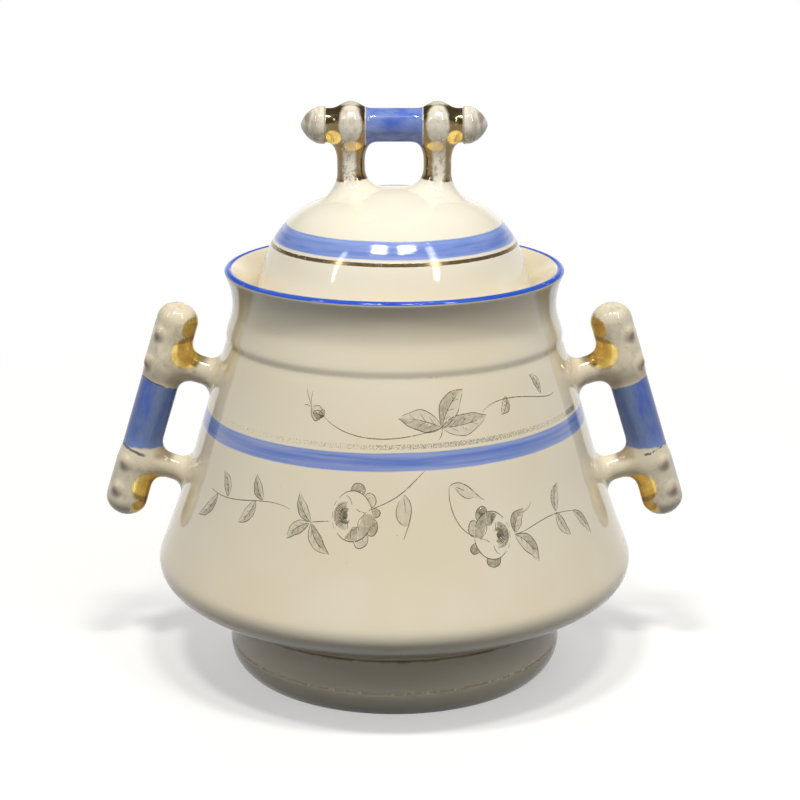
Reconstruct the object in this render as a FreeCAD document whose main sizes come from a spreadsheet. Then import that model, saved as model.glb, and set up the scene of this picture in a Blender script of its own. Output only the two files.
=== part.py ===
"""Lidded porcelain sugar bowl with a rustic bar handle on each side.

The bowl is a bell-shaped body on a turned foot ring, with a flared rim and an inner ledge for the lid.
The lid is a domed shell with a locating ring under its edge and a crossbar knob on two posts.
The body, the foot, the two handles, the dome, its ring and the knob are moulded apart and luted together.

Millimetres. +Z is up, X runs through the two side handles, and the origin is the centre of the face
that the foot stands on.
"""

import FreeCAD, Part
import math
import os

import Sketcher

SHEET = "Dimensions"
PARTS_FOLDER = "parts"

# Driving dimensions. Radii are from the bowl's axis. Rises are from the base of the bowl's body, which
# is the top of its foot, and those of the lid and its knob are from the ledge that the lid sits on.
DIMENSIONS = {
    # foot ring
    "foot_height": 12.6,
    "foot_radius": 36.6,
    "foot_wall": 4.4,
    "foot_landing_set_in": 2.5,
    "foot_landing_width": 2.0,
    "foot_bead_height": 5.3,
    "foot_bead_set_in": 0.3,
    "foot_bead_bulge": 0.7,
    "foot_cove_depth": 0.5,
    # bowl body, outside
    "root_rise": 1.7,
    "heel_radius": 49.4,
    "heel_rise": 7.4,
    "underside_bulge": 0.75,
    "belly_radius": 51.05,
    "belly_rise": 13.5,
    "belly_bulge": 1.1,
    "flank_radius": 41.7,
    "flank_rise": 40.4,
    "lower_flank_hollow": 0.4,
    "shoulder_drop": 3.8,
    "shoulder_step": 0.5,
    "groove_drop": 2.4,
    "groove_step": 0.8,
    "groove_hollow": 0.12,
    "neck_root_rise": 1.5,
    "neck_roll_bulge": 0.3,
    "neck_hollow": 1.15,
    "rim_flare": 1.5,
    "rim_rise": 12.0,
    # bowl body, inside
    "bowl_wall": 3.1,
    "neck_wall": 3.6,
    "lip_thickness": 2.1,
    "lip_crown": 0.7,
    "neck_inner_bulge": 0.45,
    "neck_bore_depth": 5.0,
    "inner_heel_set_in": 2.9,
    "inner_heel_lift": 2.0,
    "inner_belly_hollow": 0.5,
    "floor_thickness": 3.4,
    "floor_radius": 30.0,
    "floor_hollow": 0.7,
    # ledge inside the neck, which the lid sits on
    "ledge_rise": 62.4,
    "ledge_thickness": 1.8,
    "ledge_gusset": 3.4,
    # lid
    "lid_radius": 29.6,
    "lid_clearance": 1.3,
    "lid_edge_bevel": 0.7,
    "lid_edge_height": 3.0,
    "lid_side_radius": 27.1,
    "lid_side_height": 15.0,
    "lid_side_bulge": 0.5,
    "lid_crown_radius": 18.9,
    "lid_crown_height": 24.95,
    "lid_shoulder_bulge": 1.1,
    "lid_top_height": 29.2,
    "lid_wall": 2.7,
    "lid_inner_side_set_in": 2.5,
    "lid_inner_crown_set_in": 1.4,
    "lid_inner_hollow": 0.6,
    # locating ring under the lid
    "ring_radius": 26.6,
    "ring_clearance": 0.9,
    "ring_wall": 2.4,
    "ring_depth": 5.6,
    "ring_taper": 0.5,
    "ring_edge_bulge": 0.6,
    # lid knob, its bar along X
    "knob_bar_lift": 13.0,
    "knob_bar_radius": 3.4,
    "knob_half_length": 19.3,
    "knob_cap_length": 4.6,
    "knob_cap_radius": 3.75,
    "knob_cap_shoulder": 3.7,
    "knob_cap_edge_bulge": 0.1,
    "knob_neck_hollow": 0.25,
    "knob_bead_width": 5.2,
    "knob_bead_height": 1.6,
    "knob_post_offset": 9.0,
    "knob_post_radius": 3.05,
    "knob_post_waist": 9.0,
    "knob_post_foot_radius": 5.6,
    "knob_post_foot_depth": 3.2,
    "knob_post_flare_hollow": 0.95,
    # side handles, their bars leaning with the flank of the bowl
    "handle_reach": 10.9,
    "handle_rise": 42.6,
    "handle_lean": 17.3,
    "handle_grip_radius": 4.1,
    "handle_grip_half_length": 6.5,
    "handle_top_length": 25.3,
    "handle_bottom_length": 23.9,
    "handle_end_radius": 4.6,
    "handle_end_shoulder": 3.9,
    "handle_upper_arm": 12.4,
    "handle_lower_arm": 10.4,
    "handle_upper_arm_radius": 3.0,
    "handle_lower_arm_radius": 2.75,
    "handle_arm_waist": 7.0,
    "handle_arm_length": 16.5,
    "handle_arm_flare": 3.6,
    "handle_arm_flare_hollow": 0.8,
    "handle_arm_collar": 0.6,
    "handle_arm_collar_hollow": 0.15,
    "handle_arm_fillet": 0.8,
}


class Size:
    """A length that carries its value and the spreadsheet expression that gives it."""

    def __init__(self, value, text):
        self.value = value
        self.text = text

    def _join(self, other, sign, value):
        text = other.text if isinstance(other, Size) else repr(float(other))
        return Size(value, f"({self.text} {sign} {text})")

    def __add__(self, other):
        return self._join(other, "+", self.value + number(other))

    def __sub__(self, other):
        return self._join(other, "-", self.value - number(other))

    def __mul__(self, other):
        return self._join(other, "*", self.value * number(other))

    def __truediv__(self, other):
        return self._join(other, "/", self.value / number(other))

    def __neg__(self):
        return Size(-self.value, f"(0 - {self.text})")

    def root(self):
        """The square root."""
        return Size(math.sqrt(self.value), f"sqrt({self.text})")


def number(length):
    """The plain value of a Size or of a number."""
    return length.value if isinstance(length, Size) else float(length)


ZERO = Size(0.0, "0")

doc = FreeCAD.newDocument("sugar_bowl")
sheet = doc.addObject("Spreadsheet::Sheet", SHEET)
for row, (name, value) in enumerate(DIMENSIONS.items(), start=1):
    sheet.set(f"A{row}", name)
    sheet.set(f"B{row}", str(value))
    sheet.setAlias(f"B{row}", name)
doc.recompute()


def size(name):
    """A driving dimension as a Size bound to its spreadsheet cell."""
    return Size(float(sheet.get(name)), f"{SHEET}.{name}")


def new_body(label):
    """An empty PartDesign body."""
    body = doc.addObject("PartDesign::Body", label)
    body.Label = label
    return body


def plane_of(body, role):
    """One of the body's own origin planes, such as XZ_Plane."""
    return next(item for item in body.Origin.OriginFeatures if item.Role == role)


def fix(sketch, geometry, position, axis, length):
    """Holds a point of the sketch at a bound distance from the origin along one axis."""
    if length is ZERO:
        line = -2 if axis == "DistanceX" else -1
        sketch.addConstraint(Sketcher.Constraint("PointOnObject", geometry, position, line))
        return
    index = sketch.addConstraint(
        Sketcher.Constraint(axis, -1, 1, geometry, position, length.value)
    )
    sketch.setExpression(f"Constraints[{index}]", length.text)


def square_bulge(across, along):
    """Bulge of the arc that ends on the axis at right angles to it, that far across it and along it."""
    chord_squared = across * across + along * along
    radius = chord_squared / (along * 2)
    return radius - (radius * radius - chord_squared / 4).root()


def add_line(sketch, here, there):
    """Adds a straight stretch, and returns its index and the positions of its start and end."""
    first = FreeCAD.Vector(here[0].value, here[1].value, 0)
    last = FreeCAD.Vector(there[0].value, there[1].value, 0)
    return sketch.addGeometry(Part.LineSegment(first, last), False), 1, 2


def add_arc(sketch, here, there, bulge):
    """Adds an arc that leaves its chord by bulge, to the right of the way of travel if positive.

    Its radius is bound to (chord squared + 4 bulge squared) / (8 bulge). An arc runs anticlockwise, so
    its start is the stretch's start only where it bulges to the right.
    """
    run, rise = there[0] - here[0], there[1] - here[1]
    to_right = bulge.value > 0
    depth = bulge if to_right else -bulge
    radius = (run * run + rise * rise + depth * depth * 4) / (depth * 8)
    back = (radius.value - depth.value) / math.hypot(run.value, rise.value)
    if not to_right:
        back = -back
    centre = FreeCAD.Vector(
        (here[0] + there[0]).value / 2 - back * rise.value,
        (here[1] + there[1]).value / 2 + back * run.value,
        0,
    )
    turns = [math.atan2(z.value - centre.y, x.value - centre.x) for x, z in (here[:2], there[:2])]
    if not to_right:
        turns.reverse()
    circle = Part.Circle(centre, FreeCAD.Vector(0, 0, 1), radius.value)
    geometry = sketch.addGeometry(Part.ArcOfCircle(circle, *turns), False)
    index = sketch.addConstraint(Sketcher.Constraint("Radius", geometry, radius.value))
    sketch.setExpression(f"Constraints[{index}]", radius.text)
    return (geometry, 1, 2) if to_right else (geometry, 2, 1)


def outline(body, name, stations):
    """A closed sketch on the body's XZ plane, fully constrained.

    Each station is (x, z, bulge). The stretch from it to the next station is straight where bulge is
    None, and otherwise an arc with that bulge.
    """
    sketch = body.newObject("Sketcher::SketchObject", name)
    sketch.AttachmentSupport = [(plane_of(body, "XZ_Plane"), "")]
    sketch.MapMode = "FlatFace"
    stretches = []
    for here, there in zip(stations, stations[1:] + stations[:1]):
        if here[2] is None:
            stretches.append(add_line(sketch, here, there))
        else:
            stretches.append(add_arc(sketch, here, there, here[2]))
    for index, (x, z, _) in enumerate(stations):
        geometry, start, _ = stretches[index]
        before, _, end = stretches[index - 1]
        sketch.addConstraint(Sketcher.Constraint("Coincident", before, end, geometry, start))
        fix(sketch, geometry, start, "DistanceX", x)
        fix(sketch, geometry, start, "DistanceY", z)
    return sketch


def revolve(body, sketch, axis="V_Axis", name="Revolution"):
    """A full turn of the sketch about one of its own axes."""
    feature = body.newObject("PartDesign::Revolution", name)
    feature.Profile = sketch
    feature.ReferenceAxis = (sketch, [axis])
    feature.Angle = 360.0
    sketch.Visibility = False
    return feature


def groove(body, sketch, name):
    """A full turn of the sketch about the vertical axis, cut away from the body."""
    before = body.Tip
    feature = body.newObject("PartDesign::Groove", name)
    feature.Profile = sketch
    feature.ReferenceAxis = (sketch, ["V_Axis"])
    feature.Angle = 360.0
    sketch.Visibility = False
    doc.recompute()
    if feature.Shape.Volume >= before.Shape.Volume:
        raise RuntimeError(f"{name} cut nothing from {body.Label}")
    return feature


def place(sketch, x, z, lean=None):
    """Moves a sketch within its plane, and turns it about its own origin by a bound angle in degrees."""
    sketch.setExpression("AttachmentOffset.Base.x", x.text)
    sketch.setExpression("AttachmentOffset.Base.y", z.text)
    if lean is not None:
        sketch.setExpression("AttachmentOffset.Rotation.Angle", lean.text)


# Levels and radii that several pieces share.
base = size("foot_height")
ledge = base + size("ledge_rise")
lid_top = ledge + size("lid_top_height")
rim = ledge + size("rim_rise")
neck_bore = size("lid_radius") + size("lid_clearance")
neck_radius = neck_bore + size("neck_wall")
groove_radius = neck_radius + size("groove_step")
shoulder_radius = groove_radius + size("shoulder_step")
shoulder = ledge - size("shoulder_drop")
ledge_radius = size("ring_radius") + size("ring_clearance")
ring_inner_radius = size("ring_radius") - size("ring_wall")


def bowl_outside():
    """Stations of the bowl's outside, from the top of its foot up to the outer edge of its rim."""
    return [
        (size("foot_radius"), base, None),
        (size("foot_radius"), base + size("root_rise"), size("underside_bulge")),
        (size("heel_radius"), base + size("heel_rise"), size("belly_bulge")),
        (size("belly_radius"), base + size("belly_rise"), -size("lower_flank_hollow")),
        (size("flank_radius"), base + size("flank_rise"), None),
        (shoulder_radius, shoulder, -size("groove_hollow")),
        (groove_radius, ledge - size("groove_drop"), size("neck_roll_bulge")),
        (neck_radius, ledge + size("neck_root_rise"), -size("neck_hollow")),
        (neck_radius + size("rim_flare"), rim, size("lip_crown")),
    ]


def bowl_inside():
    """Stations of the bowl's inside, from the inner edge of its rim down over the ledge to its floor."""
    wall = size("bowl_wall")
    return [
        (neck_radius + size("rim_flare") - size("lip_thickness"), rim, size("neck_inner_bulge")),
        (neck_bore, ledge + size("neck_bore_depth"), None),
        (neck_bore, ledge, None),
        (ledge_radius, ledge, None),
        (ledge_radius, ledge - size("ledge_thickness"), None),
        (shoulder_radius - wall, ledge - size("ledge_thickness") - size("ledge_gusset"), None),
        (size("flank_radius") - wall, base + size("flank_rise"), size("lower_flank_hollow")),
        (size("belly_radius") - wall, base + size("belly_rise"), -size("inner_belly_hollow")),
        (
            size("heel_radius") - size("inner_heel_set_in"),
            base + size("heel_rise") + size("inner_heel_lift"),
            -size("floor_hollow"),
        ),
        (size("floor_radius"), base + size("floor_thickness"), None),
        (ZERO, base + size("floor_thickness"), None),
    ]


def lid_outside():
    """Stations of the lid's outside, from the top of its upright edge over the dome to the axis."""
    crown_rise = size("lid_top_height") - size("lid_crown_height")
    lid_crown_bulge = square_bulge(size("lid_crown_radius"), crown_rise)
    return [
        (size("lid_radius"), ledge + size("lid_edge_height"), size("lid_side_bulge")),
        (size("lid_side_radius"), ledge + size("lid_side_height"), size("lid_shoulder_bulge")),
        (size("lid_crown_radius"), ledge + size("lid_crown_height"), lid_crown_bulge),
        (ZERO, lid_top, None),
    ]


def make_foot_ring():
    """The turned ring that the bowl stands on: a rounded bead below a shallow cove."""
    body = new_body("foot_ring")
    landing = size("foot_radius") - size("foot_landing_set_in")
    bead_radius = size("foot_radius") - size("foot_bead_set_in")
    profile = [
        (landing - size("foot_landing_width"), ZERO, None),
        (landing, ZERO, size("foot_bead_bulge")),
        (bead_radius, size("foot_bead_height"), -size("foot_cove_depth")),
        (size("foot_radius"), base, None),
        (size("foot_radius") - size("foot_wall"), base, None),
    ]
    revolve(body, outline(body, "foot_profile", profile))
    return body


def make_bowl_body():
    """The bell-shaped vessel, with a flared rim and the ledge inside its neck."""
    body = new_body("bowl_body")
    profile = [(ZERO, base, None)] + bowl_outside() + bowl_inside()
    revolve(body, outline(body, "bowl_profile", profile))
    return body


def make_lid_dome():
    """The domed shell, thickened at its edge, where it sits on the ledge and carries the locating ring."""
    body = new_body("lid_dome")
    bevel = size("lid_edge_bevel")
    crown_radius = size("lid_crown_radius") - size("lid_inner_crown_set_in")
    crown_rise = size("lid_top_height") - size("lid_crown_height")
    inside = [
        (ZERO, lid_top - size("lid_wall"), -square_bulge(crown_radius, crown_rise)),
        (
            crown_radius,
            ledge + size("lid_crown_height") - size("lid_wall"),
            -size("lid_shoulder_bulge"),
        ),
        (
            size("lid_side_radius") - size("lid_inner_side_set_in"),
            ledge + size("lid_side_height") - size("lid_inner_side_set_in") / 2,
            -size("lid_inner_hollow"),
        ),
    ]
    edge = [
        (ring_inner_radius, ledge + size("lid_edge_height"), None),
        (ring_inner_radius, ledge, None),
        (size("lid_radius") - bevel, ledge, None),
        (size("lid_radius"), ledge + bevel, None),
    ]
    revolve(body, outline(body, "dome_profile", inside + edge + lid_outside()))
    return body


def make_lid_ring():
    """The ring under the lid that drops inside the ledge and keeps the lid in place."""
    body = new_body("lid_ring")
    foot = ledge - size("ring_depth")
    profile = [
        (ring_inner_radius, foot, size("ring_edge_bulge")),
        (size("ring_radius") - size("ring_taper"), foot, None),
        (size("ring_radius"), ledge, None),
        (ring_inner_radius, ledge, None),
    ]
    revolve(body, outline(body, "ring_profile", profile))
    return body


def knob_bar_half():
    """Stations of half of the knob's bar in its own frame, from one tip over its bead to the grip."""
    tip = size("knob_half_length")
    cap_foot = tip - size("knob_cap_length")
    bead = size("knob_bead_width") / 2
    radius = size("knob_bar_radius")
    cap_shoulder, cap_radius = size("knob_cap_shoulder"), size("knob_cap_radius")
    return [
        (tip, ZERO, square_bulge(cap_radius, cap_shoulder)),
        (tip - cap_shoulder, cap_radius, size("knob_cap_edge_bulge")),
        (cap_foot, radius, -size("knob_neck_hollow")),
        (size("knob_post_offset") + bead, radius, size("knob_bead_height")),
        (size("knob_post_offset") - bead, radius, None),
    ]


def mirrored(stations):
    """The same stretches on the other side of the V axis, in the order that carries the outline on."""
    back = stations[::-1]
    bulges = [station[2] for station in back[1:]] + [None]
    return [(-x, z, bulge) for (x, z, _), bulge in zip(back, bulges)]


def make_lid_knob():
    """The crossbar knob: a budded bar on two posts that stand on the dome."""
    body = new_body("lid_knob")
    bar_height = lid_top + size("knob_bar_lift")
    half = knob_bar_half()
    bar = outline(body, "knob_bar_profile", half + mirrored(half))
    place(bar, ZERO, bar_height)
    revolve(body, bar, "H_Axis", "knob_bar")
    for side, offset in (("right", size("knob_post_offset")), ("left", -size("knob_post_offset"))):
        foot = -size("knob_post_foot_depth")
        profile = [
            (ZERO, foot, None),
            (size("knob_post_foot_radius"), foot, -size("knob_post_flare_hollow")),
            (size("knob_post_radius"), size("knob_post_waist"), None),
            (size("knob_post_radius"), size("knob_bar_lift"), None),
            (ZERO, size("knob_bar_lift"), None),
        ]
        post = outline(body, f"{side}_post_profile", profile)
        place(post, offset, lid_top)
        revolve(body, post, "V_Axis", f"{side}_post")
    under = [(ZERO, ledge, None), (size("lid_radius"), ledge, None)] + lid_outside()
    groove(body, outline(body, "dome_cut_profile", under), "dome_cut")
    return body


def handle_arm(body, name, level, radius):
    """Revolves one arm about its own axis, which meets the bar's axis at right angles at that level."""
    root = -size("handle_arm_length")
    waist = -size("handle_arm_waist")
    profile = [
        (root, level, None),
        (ZERO, level, None),
        (ZERO, level + radius + size("handle_arm_collar"), -size("handle_arm_collar_hollow")),
        (waist, level + radius, -size("handle_arm_flare_hollow")),
        (root, level + radius + size("handle_arm_flare"), None),
    ]
    sketch = outline(body, f"{name}_profile", profile)
    on_axis = sketch.Geometry[0]
    axis = sketch.addGeometry(Part.LineSegment(on_axis.StartPoint, on_axis.EndPoint), True)
    sketch.addConstraint(Sketcher.Constraint("Coincident", axis, 1, 0, 1))
    sketch.addConstraint(Sketcher.Constraint("Coincident", axis, 2, 0, 2))
    lean_handle(sketch)
    return revolve(body, sketch, "Axis0", name)


def lean_handle(sketch):
    """Puts a sketch in the handle's frame: origin on the bar's axis, V along the bar."""
    place(
        sketch,
        size("flank_radius") + size("handle_reach"),
        base + size("handle_rise"),
        size("handle_lean"),
    )


def arm_roots(body):
    """The edges where the two arms leave the bar: on both the bar's and an arm's surface all along."""
    lean = math.radians(size("handle_lean").value)
    along = FreeCAD.Vector(-math.sin(lean), 0, math.cos(lean))
    across = FreeCAD.Vector(math.cos(lean), 0, math.sin(lean))
    reach = size("flank_radius") + size("handle_reach")
    middle = FreeCAD.Vector(reach.value, 0, (base + size("handle_rise")).value)
    bar_radius = size("handle_end_radius").value
    arms = [
        (size("handle_upper_arm").value, size("handle_upper_arm_radius").value),
        (-size("handle_lower_arm").value, size("handle_lower_arm_radius").value),
    ]
    names = []
    for index, edge in enumerate(body.Tip.Shape.Edges, start=1):
        if edge.Degenerated:
            continue
        points = [point - middle for point in edge.discretize(9)]
        on_bar = all(math.hypot(point * across, point.y) <= bar_radius for point in points)
        for level, radius in arms:
            widest = radius + size("handle_arm_collar").value
            round_arm = all(
                radius <= math.hypot(point * along - level, point.y) <= widest for point in points
            )
            if on_bar and round_arm:
                names.append(f"Edge{index}")
    return names


def fillet_arms(body):
    """Rounds the corner where each arm leaves the bar, as the slip that joins them does."""
    doc.recompute()
    base_feature, names = body.Tip, arm_roots(body)
    fillet = body.newObject("PartDesign::Fillet", "arm_fillet")
    fillet.Base = (base_feature, names)
    fillet.setExpression("Radius", size("handle_arm_fillet").text)


def make_handle(label, turn):
    """A bar with rounded ends on two flared arms, turned about Z to its side of the bowl."""
    body = new_body(label)
    top, bottom = size("handle_top_length"), -size("handle_bottom_length")
    grip, shoulder = size("handle_grip_half_length"), size("handle_end_shoulder")
    end_radius, grip_radius = size("handle_end_radius"), size("handle_grip_radius")
    end_bulge = square_bulge(end_radius, shoulder)
    profile = [
        (ZERO, bottom, end_bulge),
        (end_radius, bottom + shoulder, None),
        (grip_radius, -grip, None),
        (grip_radius, grip, None),
        (end_radius, top - shoulder, end_bulge),
        (ZERO, top, None),
    ]
    bar = outline(body, "bar_profile", profile)
    lean_handle(bar)
    revolve(body, bar, "V_Axis", "bar")
    handle_arm(body, "upper_arm", size("handle_upper_arm"), size("handle_upper_arm_radius"))
    handle_arm(body, "lower_arm", -size("handle_lower_arm"), size("handle_lower_arm_radius"))
    fillet_arms(body)
    inside = [(ZERO, base, None)] + bowl_outside() + [(ZERO, rim, None)]
    groove(body, outline(body, "bowl_cut_profile", inside), "bowl_cut")
    body.Placement = FreeCAD.Placement(FreeCAD.Vector(), FreeCAD.Rotation(FreeCAD.Vector(0, 0, 1), turn))
    return body


pieces = [
    make_foot_ring(),
    make_bowl_body(),
    make_handle("right_handle", 0.0),
    make_handle("left_handle", 180.0),
    make_lid_dome(),
    make_lid_ring(),
    make_lid_knob(),
]
doc.recompute()

for item in doc.Objects:
    if {"Invalid", "Error"} & set(item.State):
        raise RuntimeError(f"{item.Label} did not build: {item.State}")
for piece in pieces:
    if piece.Shape.isNull() or not piece.Shape.isValid() or len(piece.Shape.Solids) != 1:
        raise RuntimeError(f"{piece.Label} is not one valid solid")

os.makedirs(PARTS_FOLDER, exist_ok=True)
for piece in pieces:
    piece.Shape.exportStep(f"{PARTS_FOLDER}/{piece.Label}.step")
    box = piece.Shape.optimalBoundingBox()
    print(
        f"{piece.Label}: {piece.Shape.Volume / 1000:.2f} cm3, x {box.XMin:.1f} to {box.XMax:.1f}, "
        f"y {box.YMin:.1f} to {box.YMax:.1f}, z {box.ZMin:.1f} to {box.ZMax:.1f}"
    )
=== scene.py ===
# %% [markdown]
# # A lidded porcelain sugar bowl
#
# The bowl is slip-cast porcelain under a clear, very glossy glaze. It has a bell-shaped body on a turned
# foot, a bar handle on each side and a loose domed lid with a crossbar knob. Painters added blue bands,
# thin gold lines, gold lustre on the handles and grey transfer-printed sprigs.
#
# The CAD frame fixes every size and joint. This script only makes the skin: surfaces smooth enough for
# sharp reflections, and finishes with the wear that the real ones show.

import math

import bpy
import numpy as np
from mathutils import Matrix, Vector


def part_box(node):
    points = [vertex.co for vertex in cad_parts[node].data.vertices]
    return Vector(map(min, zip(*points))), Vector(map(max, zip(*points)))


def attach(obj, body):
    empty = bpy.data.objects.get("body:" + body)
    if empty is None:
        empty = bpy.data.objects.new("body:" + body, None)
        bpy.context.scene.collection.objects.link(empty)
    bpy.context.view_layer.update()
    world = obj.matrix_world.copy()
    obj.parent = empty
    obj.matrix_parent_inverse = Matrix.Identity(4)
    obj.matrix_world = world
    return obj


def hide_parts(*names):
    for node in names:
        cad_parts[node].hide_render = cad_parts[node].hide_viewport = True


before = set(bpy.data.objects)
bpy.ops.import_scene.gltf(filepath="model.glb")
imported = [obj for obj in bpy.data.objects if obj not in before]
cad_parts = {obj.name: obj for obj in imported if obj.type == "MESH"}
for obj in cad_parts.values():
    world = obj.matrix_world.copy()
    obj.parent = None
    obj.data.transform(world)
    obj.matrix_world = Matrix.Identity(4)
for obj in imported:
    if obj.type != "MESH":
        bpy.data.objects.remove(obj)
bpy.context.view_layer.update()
MM = 0.001

# %% [markdown]
# ## The camera
#
# A small object looks natural through a short telephoto lens from about forty centimetres. A wide lens
# would swell the knob and shrink the foot. The camera looks slightly down, so that the rims read as ovals.

# %% Camera
LENS_MM = 85.1
CAMERA_BACK = 392.5
CAMERA_HEIGHT = 169.8
CAMERA_ASIDE = 1.2
LOOK_DOWN_DEG = 15.91

camera = bpy.data.objects.new("camera", bpy.data.cameras.new("camera"))
bpy.context.scene.collection.objects.link(camera)
bpy.context.scene.camera = camera
camera.data.lens = LENS_MM
camera.data.sensor_width = 36.0
camera.data.clip_start = 0.01
camera.location = (CAMERA_ASIDE * MM, -CAMERA_BACK * MM, CAMERA_HEIGHT * MM)
camera.rotation_euler = (math.radians(90.0 - LOOK_DOWN_DEG), 0.0, 0.0)
print("camera at", [round(value, 3) for value in camera.location])

# %% [markdown]
# ## Outlines of the turned pieces
#
# The body, foot and lid are turned shapes, so each one is an outline spun round the bowl's axis. Blender's
# Screw modifier on a hand-drawn curve would do it too. Here the outline is a chain of circular arcs, as a
# potter's template is, because each arc needs only its two ends and how far it bulges.
#
# Glaze flows into corners and rounds them. So the chain is resampled finely and averaged over a fraction
# of a millimetre, which melts every corner by the same amount, as the kiln does.

# %% Arcs and chains
def arc(start, end, bulge, count):
    """Evenly spaced points from start up to end, without end. In the complex plane where the chord runs
    from 0 to 1, an arc that turns by angle a is (exp(i a t) - 1) / (exp(i a) - 1). It leaves its chord by
    bulge, to the right of the way of travel."""
    first, last = complex(*start), complex(*end)
    steps = np.arange(count) / count
    if bulge:
        turn = 4.0 * math.atan(2.0 * bulge / abs(last - first))
        steps = (np.exp(1j * turn * steps) - 1.0) / (np.exp(1j * turn) - 1.0)
    points = first + (last - first) * steps
    return np.column_stack((points.real, points.imag))


def even(points, spacing):
    """The same path with its points at equal steps of arc length."""
    lengths = np.concatenate(([0.0], np.cumsum(np.hypot(*np.diff(points, axis=0).T))))
    places = np.linspace(0.0, lengths[-1], max(2, int(lengths[-1] / spacing) + 1))
    return np.column_stack([np.interp(places, lengths, points[:, axis]) for axis in (0, 1)])


def melted(points, softness, spacing):
    """The path averaged with a Gaussian of that softness along its length. Both ends are extended by
    point reflection, so that they stay where they are."""
    reach = int(4.0 * softness / spacing)
    offsets = np.arange(-reach, reach + 1) * spacing
    weights = np.exp(-0.5 * (offsets / softness) ** 2)
    weights /= weights.sum()
    before = 2.0 * points[0] - points[reach:0:-1]
    after = 2.0 * points[-1] - points[-2:-reach - 2:-1]
    longer = np.concatenate((before, points, after))
    return np.column_stack([np.convolve(longer[:, axis], weights, "valid") for axis in (0, 1)])


def outline(stations, softness=0.35, spacing=0.08, flowing=None):
    """A melted chain of arcs. A station is (radius, height, bulge of the arc to the next station). With
    flowing, (softness, height, width), the chain's outer side is softer below that height."""
    pieces = [
        arc(here[:2], there[:2], here[2], 60) for here, there in zip(stations[:-1], stations[1:])
    ]
    chain = even(np.concatenate(pieces + [np.array([stations[-1][:2]])]), spacing)
    crisp = melted(chain, softness, spacing)
    if flowing is None:
        return crisp
    soft, height, width = flowing
    share = np.clip((height - chain[:, 1]) / width, 0.0, 1.0)
    share[np.argmax(chain[:, 1]) :] = 0.0
    return crisp + share[:, None] * (melted(chain, soft, spacing) - crisp)


# %% Thin an outline to mesh rows
def rows_of(points, step, turn_step):
    """Rows for the mesh: a new row after every step in millimetres, or after every turn of turn_step
    degrees, whichever comes first. Both are summed into one running count, which is cut evenly."""
    legs = np.diff(points, axis=0)
    lengths = np.hypot(*legs.T)
    headings = np.unwrap(np.arctan2(legs[:, 1], legs[:, 0]))
    turns = np.abs(np.diff(headings, append=headings[-1]))
    count = np.concatenate(([0.0], np.cumsum(lengths / step + turns / math.radians(turn_step))))
    places = np.linspace(0.0, count[-1], int(count[-1]) + 1)
    return np.column_stack([np.interp(places, count, points[:, axis]) for axis in (0, 1)])


trial = rows_of(outline([(10.0, 0.0, 1.0), (12.0, 8.0, 0.0), (6.0, 9.0, 0.0)]), 1.0, 6.0)
print("a three-station outline becomes", len(trial), "rows")

# %% [markdown]
# ## Spinning an outline into a closed skin
#
# A spun skin is a grid: rows run along the outline and columns round the axis. A row on the axis becomes
# one point, so the pole is closed with a fan. An outline that closes on itself, as a ring's does, joins
# its last row to its first.

# %% Meshes from arrays
def new_piece(name, points, faces, body, replaced=()):
    """A smooth mesh object from arrays in millimetres, riding on a body of the frame."""
    mesh = bpy.data.meshes.new(name)
    mesh.from_pydata((points * MM).tolist(), [], [list(face) for face in faces])
    mesh.validate()
    mesh.shade_smooth()
    mesh.update()
    piece = bpy.data.objects.new(name, mesh)
    bpy.context.scene.collection.objects.link(piece)
    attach(piece, body)
    if replaced:
        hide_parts(*replaced)
    print(f"{name}: {len(mesh.vertices)} points, {len(mesh.polygons)} faces")
    return piece


def grid_faces(rows, columns, closed_rows):
    """Quads between neighbouring rows and columns. Columns always close round the axis."""
    last = rows if closed_rows else rows - 1
    row, column = np.meshgrid(np.arange(last), np.arange(columns), indexing="ij")
    next_row, next_column = (row + 1) % rows, (column + 1) % columns
    corners = [
        row * columns + column,
        row * columns + next_column,
        next_row * columns + next_column,
        next_row * columns + column,
    ]
    return np.stack(corners, axis=-1).reshape(-1, 4)


def spin(rows, columns=360, closed=False):
    """Spins rows of (radius, height) round Z: x = radius cos a, y = radius sin a. Rows run anticlockwise
    round the solid in the (radius, height) plane, which points the faces outwards. Rows on the axis
    shrink to one point each."""
    angles = np.linspace(0.0, 2.0 * np.pi, columns, endpoint=False)
    poles = [place for place in (0, len(rows) - 1) if rows[place, 0] < 1e-6 and not closed]
    body_rows = np.delete(rows, poles, axis=0)
    radii, heights = body_rows[:, :1], body_rows[:, 1:]
    grid = np.stack(
        (radii * np.cos(angles), radii * np.sin(angles), heights + 0.0 * angles), axis=-1
    ).reshape(-1, 3)
    faces = grid_faces(len(body_rows), columns, closed).tolist()
    here = np.arange(columns)
    there = (here + 1) % columns
    for pole in poles:
        tip = len(grid)
        grid = np.vstack((grid, (0.0, 0.0, rows[pole, 1])))
        start = 0 if pole == 0 else (len(body_rows) - 1) * columns
        near, far = (there, here) if pole == 0 else (here, there)
        faces += np.column_stack((near + start, far + start, np.full(columns, tip))).tolist()
    return grid, faces


# %% Compare a skin with its CAD node
SAMPLE_SIZE = 400


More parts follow.
